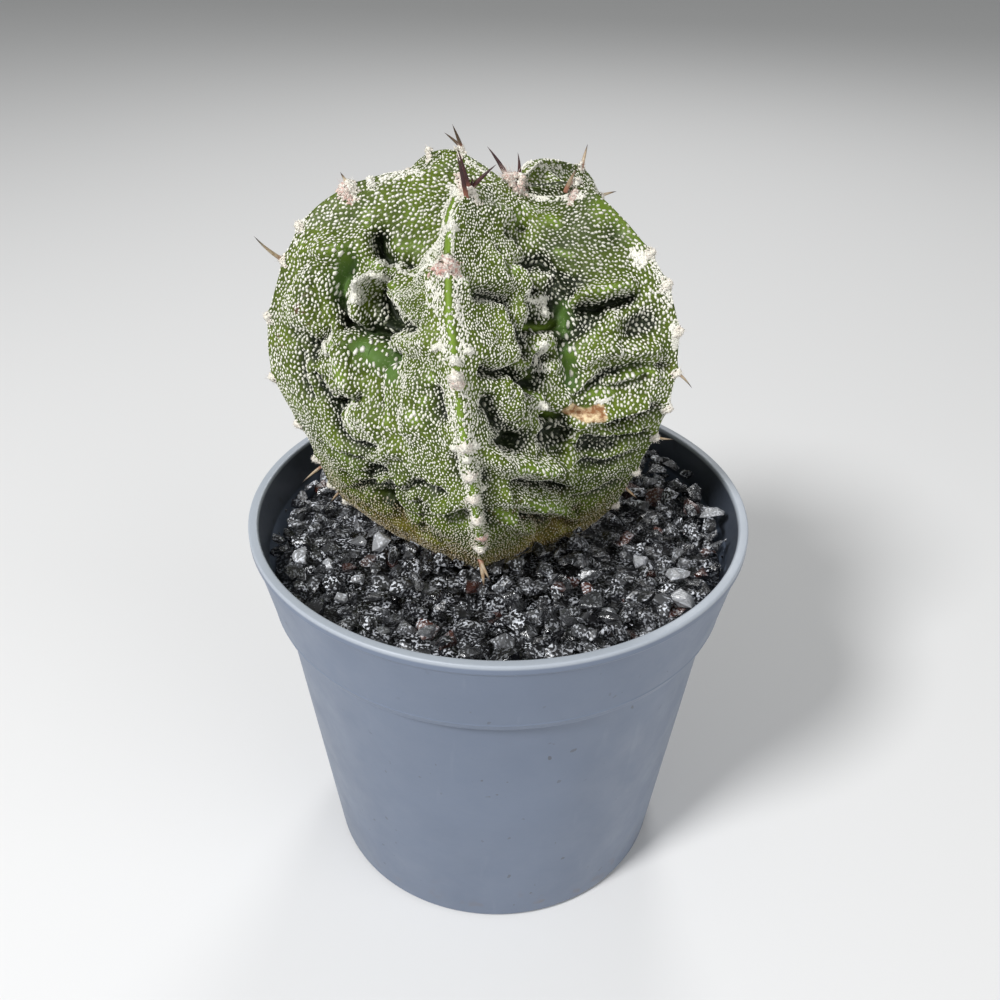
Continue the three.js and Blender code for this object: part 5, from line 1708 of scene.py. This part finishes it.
def felt_spots(rng, path, half):
    """Crowded spots along a path on the flank, up to so many millimetres aside of it."""
    corners = np.array(path, float)
    places = plain_skin(corners[:, 0], corners[:, 1] / 100)
    way = np.concatenate([[0], np.cumsum(np.linalg.norm(np.diff(places, axis=0), axis=1))])
    count = int((way[-1] + half) * (2 * half + 0.3) * FELT_LOCKS)
    along = rng.uniform(-0.3 * half, way[-1] + 0.3 * half, count)
    azimuth = np.interp(along, way, corners[:, 0])
    fall = np.interp(along, way, corners[:, 1]) / 100
    radius = np.interp(along, way, np.hypot(places[:, 0], places[:, 1]))
    aside = rng.normal(0, 0.5 * half, (2, count))
    return azimuth + np.degrees(aside[0] / radius), fall + aside[1] / RIB_LENGTH


class CACTUS_OT_wool(bpy.types.Operator):
    """Grow the wool of the areoles, the white edging of the front rib and the crest streaks"""

    bl_idname = "cactus.wool"
    bl_label = "Areole wool"

    def execute(self, context):
        rng = np.random.default_rng(context.scene.cactus_wool.seed + 1)
        self.make_edging(rng)
        self.make_tufts(rng)
        return {"FINISHED"}

    def make_edging(self, rng):
        """The felt borders along the crests and the felt streaks on the flanks."""
        azimuths, falls, sizes = [], [], []
        for rib, start, end, aside, size in CREST_WOOL:
            azimuth, fall = crest_line(rib, start, end, 0.06, aside)
            keep = rng.uniform(0, 1, len(fall)) < 0.85
            azimuths.append(azimuth[keep] + rng.normal(0, 0.8, keep.sum()))
            falls.append(fall[keep] + rng.normal(0, 0.0015, keep.sum()))
            sizes.append(size * rng.uniform(0.45, 0.9, keep.sum()))
        for path, half, size in FELT:
            azimuth, fall = felt_spots(rng, path, half)
            azimuths.append(azimuth)
            falls.append(fall)
            sizes.append(size * rng.uniform(0.7, 1.5, len(fall)))
        azimuth, fall, size = np.concatenate(azimuths), np.concatenate(falls), np.concatenate(sizes)
        points, normal, _, _ = raised_skin(azimuth, fall)
        axes = turned(frame_of(normal, downhill(azimuth, fall)), rng.normal(0, 0.5, len(fall)))
        axes = axes * np.stack([size * 0.8, size * 1.3, size * 0.55], axis=1)[:, :, None]
        templates = [fleck_template(rng) for _ in range(FLECK_SHAPES)]
        kinds = rng.integers(0, FLECK_SHAPES, len(fall))
        tones = fleck_tones(rng, fall, np.zeros(len(fall)))
        mesh = repeated("crest_wool", templates, kinds, points, axes, tones)
        new_object("crest_wool", mesh, made["wool_material"])

    def make_tufts(self, rng):
        """Each areole: a low dome of felted locks with loose hairs over it."""
        lock = fleck_template(rng)
        bm = bmesh.new()
        bmesh.ops.create_cone(bm, cap_ends=True, segments=3, radius1=1, radius2=0.15, depth=1)
        bmesh.ops.translate(bm, verts=bm.verts, vec=(0, 0, 0.5))
        hair = template_of(bm)
        tufts = [
            (azimuth, fall, UPPER_TUFT if fall < UPPER_END else LOWER_TUFT, TUFT_PINK)
            for _, azimuth, fall in areole_places() if fall < TUFTS_END
        ]
        tufts += [(azimuth, percent / 100, size, pink) for azimuth, percent, size, pink in EXTRA_TUFTS]
        locks, hairs = [], []
        for azimuth, fall, size, pink in tufts:
            here = int(36 + 140 * size * size)
            lean = rng.normal(0, 0.38 * size, (here + int(30 * size), 2))
            plain = plain_skin(azimuth, fall)
            radius = max(np.hypot(*(plain[:2] - MIDDLE[2])), 3)
            around = azimuth + np.degrees(lean[:, 0] / radius)
            down = fall + lean[:, 1] / RIB_LENGTH
            points, normal, _, _ = raised_skin(around, np.clip(down, 0.002, 0.98))
            lift = 0.4 * size * bell(np.hypot(lean[:, 0], lean[:, 1]), 0.55 * size)
            points = points + normal * lift[:, None]
            blush = pink * rng.uniform(0, 1.6, len(points))
            held = np.column_stack([points, normal, np.full(len(points), size), blush])
            locks.append(held[:here])
            hairs.append(held[here:])
        locks, hairs = np.concatenate(locks), np.concatenate(hairs)
        half = rng.uniform(0.11, 0.25, len(locks)) * locks[:, 6] ** 0.4
        axes = self.loose_axes(rng, locks, 0.35)
        axes = axes * np.stack([half * 0.8, half * 1.9, half], axis=1)[:, :, None]
        self.make_wool("areole_wool", rng, lock, locks, axes)
        axes = self.loose_axes(rng, hairs, 0.9)
        length = hairs[:, 6] * rng.uniform(0.5, 1.1, len(hairs))
        thick = np.full(len(hairs), HAIR_RADIUS)
        axes = axes * np.stack([thick, thick, length], axis=1)[:, :, None]
        self.make_wool("areole_hairs", rng, hair, hairs, axes)

    def loose_axes(self, rng, held, spread):
        """Axes that stand off the skin, each tilted its own way."""
        tilt = rng.normal(0, spread, (len(held), 3))
        return frame_of(held[:, 3:6] + tilt, rng.normal(size=(len(held), 3)))

    def make_wool(self, name, rng, template, held, axes):
        """One mesh of locks or hairs. Each row held: place, normal, the tuft's size, how pink."""
        count = len(held)
        grey = np.clip(rng.normal(0.1, 0.15, count), 0, 1)
        tones = np.stack([grey, 0 * grey, np.clip(held[:, 7], 0, 1)], axis=1)
        mesh = repeated(name, [template], np.zeros(count, int), held[:, :3], axes, tones)
        new_object(name, mesh, made["wool_material"])


def spine_seat(spine):
    """Root point, direction and hook of a spine on a rib's crest, as in the part's source."""
    rib, percent, _, _, side_lean, down_lean, side_hook, down_hook = spine
    fall = np.array(percent / 100)
    azimuth = crest_azimuths(fall)[rib]
    base = plain_skin(azimuth, fall)
    down = plain_skin(azimuth, fall + 0.01) - base
    down /= np.linalg.norm(down)
    angle = math.radians(azimuth)
    across = np.array([math.cos(angle), math.sin(angle), 0])
    out = -np.cross(across, down)
    out /= np.linalg.norm(out)
    base = base + out * SPINE_SEAT
    direction = out + across * side_lean + down * down_lean
    return base, direction / np.linalg.norm(direction), across * side_hook + down * down_hook


def spine_points(shape, base, direction, hook, length, radius):
    """Bends a unit cone along the spine's curve."""
    way = shape[:, 2]
    turn = Vector((0, 0, 1)).rotation_difference(Vector(direction)).to_matrix()
    across = np.column_stack([shape[:, 0], shape[:, 1], 0 * way]) @ np.array(turn).T
    along = direction * (way * (length + SPINE_ROOT) - SPINE_ROOT)[:, None]
    return base + across * radius + along + hook * (way**2)[:, None]


class CACTUS_OT_spines(bpy.types.Operator):
    """Set the few curved spines into their areoles"""

    bl_idname = "cactus.spines"
    bl_label = "Spines"

    def execute(self, context):
        ways = np.linspace(0, 1, SPINE_RINGS)
        rings = [[(1 - way**SPINE_TAPER) / MM, way / MM] for way in ways[:-1]]
        shape, faces = template_of(spun([[0, 0], *rings, [0, 1 / MM]], SPINE_SIDES))
        points, tones = [], []
        for spine in SPINES:
            base, direction, hook = spine_seat(spine)
            points.append(spine_points(shape, base, direction, hook, spine[2], spine[3] * SPINE_GIRTH))
            old = float(np.clip((spine[1] - 10) / 10, 0, 1)) if spine[0] else float(spine[1] > 20)
            tones.append(self.tone(shape, old))
        for azimuth, percent, length, radius, lean, hook, old in CROWN_SPINES:
            base = plain_skin(azimuth, percent / 100) + np.array([0, 0, CROWN_CUSHION[3] / 2])
            way, hook = unit(np.array(lean, float)), np.array(hook, float)
            points.append(spine_points(shape, base, way, hook, length, radius * SPINE_GIRTH))
            tones.append(self.tone(shape, old))
        bm = bmesh.new()
        for cloud in points:
            corners = [bm.verts.new(point * MM) for point in cloud]
            for face in faces:
                bm.faces.new([corners[i] for i in face])
        mesh = mesh_of(bm, "spines")
        write_colours(mesh, "tone", np.concatenate(tones))
        new_object("spines", mesh, spine_material())
        return {"FINISHED"}

    def tone(self, shape, old):
        """Age, dark tip and reddish root along the spine."""
        way = shape[:, 2]
        tip = fade(way, 0.6, 0.95) * (0.3 + 0.7 * old)
        root = 0.8 * (1 - fade(way, 0.18, 0.4))
        return np.stack([old + 0 * way, tip, root], axis=1)


# Stage

class CACTUS_OT_stage(bpy.types.Operator):
    """Set the pale floor, the soft light and the camera"""

    bl_idname = "cactus.stage"
    bl_label = "Stage"

    def execute(self, context):
        settings = context.scene.cactus_stage
        self.make_floor(settings)
        self.make_light(context, settings)
        self.make_camera(context)
        context.scene.view_settings.view_transform = "Standard"
        return {"FINISHED"}

    def make_floor(self, settings):
        bm = bmesh.new()
        bmesh.ops.create_grid(bm, x_segments=1, y_segments=1, size=3)
        floor = bpy.data.objects.new("floor", mesh_of(bm, "floor"))
        bpy.context.scene.collection.objects.link(floor)
        material, tree, shader = new_material("floor")
        shader.inputs["Base Color"].default_value = tuple(settings.floor_colour) + (1.0,)
        shader.inputs["Roughness"].default_value = 0.8
        floor.data.materials.append(material)

    def make_light(self, context, settings):
        world = bpy.data.worlds.new("soft sky")
        world.use_nodes = True
        sky = world.node_tree.nodes["Background"]
        sky.inputs["Color"].default_value = linear(238, 240, 240)
        sky.inputs["Strength"].default_value = settings.sky
        context.scene.world = world
        for name, place, size, power in LAMPS:
            lamp = bpy.data.lights.new(name, "AREA")
            lamp.shape = "DISK"
            lamp.size = size
            lamp.energy = settings.lamp * power
            light = bpy.data.objects.new(name, lamp)
            light.location = place
            aim = Vector(LAMP_AIM) - Vector(place)
            light.rotation_euler = aim.to_track_quat("-Z", "Y").to_euler()
            context.scene.collection.objects.link(light)

    def make_camera(self, context):
        lens = bpy.data.cameras.new("camera")
        lens.lens = LENS
        lens.sensor_width = SENSOR
        lens.clip_start = 0.01
        down = math.radians(LOOK_DOWN)
        roll = math.radians(ROLL)
        forward = Vector((0, math.cos(down), -math.sin(down)))
        right = Vector((1, 0, 0))
        up = right.cross(forward)
        side = math.cos(roll) * right + math.sin(roll) * up
        top = -math.sin(roll) * right + math.cos(roll) * up
        turn = Matrix((side, top, -forward)).transposed().to_4x4()
        camera = bpy.data.objects.new("camera", lens)
        camera.matrix_world = Matrix.Translation(EYE) @ turn
        context.scene.collection.objects.link(camera)
        context.scene.camera = camera


GROUPS = {
    "cactus_pot": PotSettings, "cactus_grit": GritSettings, "cactus_skin": SkinSettings,
    "cactus_wool": WoolSettings, "cactus_stage": StageSettings,
}
OPERATORS = [
    CACTUS_OT_stage, CACTUS_OT_pot, CACTUS_OT_soil, CACTUS_OT_grit, CACTUS_OT_skin,
    CACTUS_OT_flecks, CACTUS_OT_wool, CACTUS_OT_spines,
]


class CACTUS_PT_panel(bpy.types.Panel):
    """Lists the pieces and their settings"""

    bl_label = "Potted cactus"
    bl_idname = "CACTUS_PT_panel"
    bl_space_type = "VIEW_3D"
    bl_region_type = "UI"
    bl_category = "Cactus"

    def draw(self, context):
        for operator in OPERATORS:
            self.layout.operator(operator.bl_idname)
        for name, kind in GROUPS.items():
            box = self.layout.box()
            for setting in kind.__annotations__:
                box.prop(getattr(context.scene, name), setting)


def register():
    for kind in [*GROUPS.values(), *OPERATORS, CACTUS_PT_panel]:
        bpy.utils.register_class(kind)
    for name, kind in GROUPS.items():
        setattr(bpy.types.Scene, name, bpy.props.PointerProperty(type=kind))


def unregister():
    for name in GROUPS:
        delattr(bpy.types.Scene, name)
    for kind in reversed([*GROUPS.values(), *OPERATORS, CACTUS_PT_panel]):
        bpy.utils.unregister_class(kind)


def main():
    register()
    for operator in OPERATORS:
        group, name = operator.bl_idname.split(".")
        getattr(getattr(bpy.ops, group), name)()


if __name__ == "__main__":
    main()
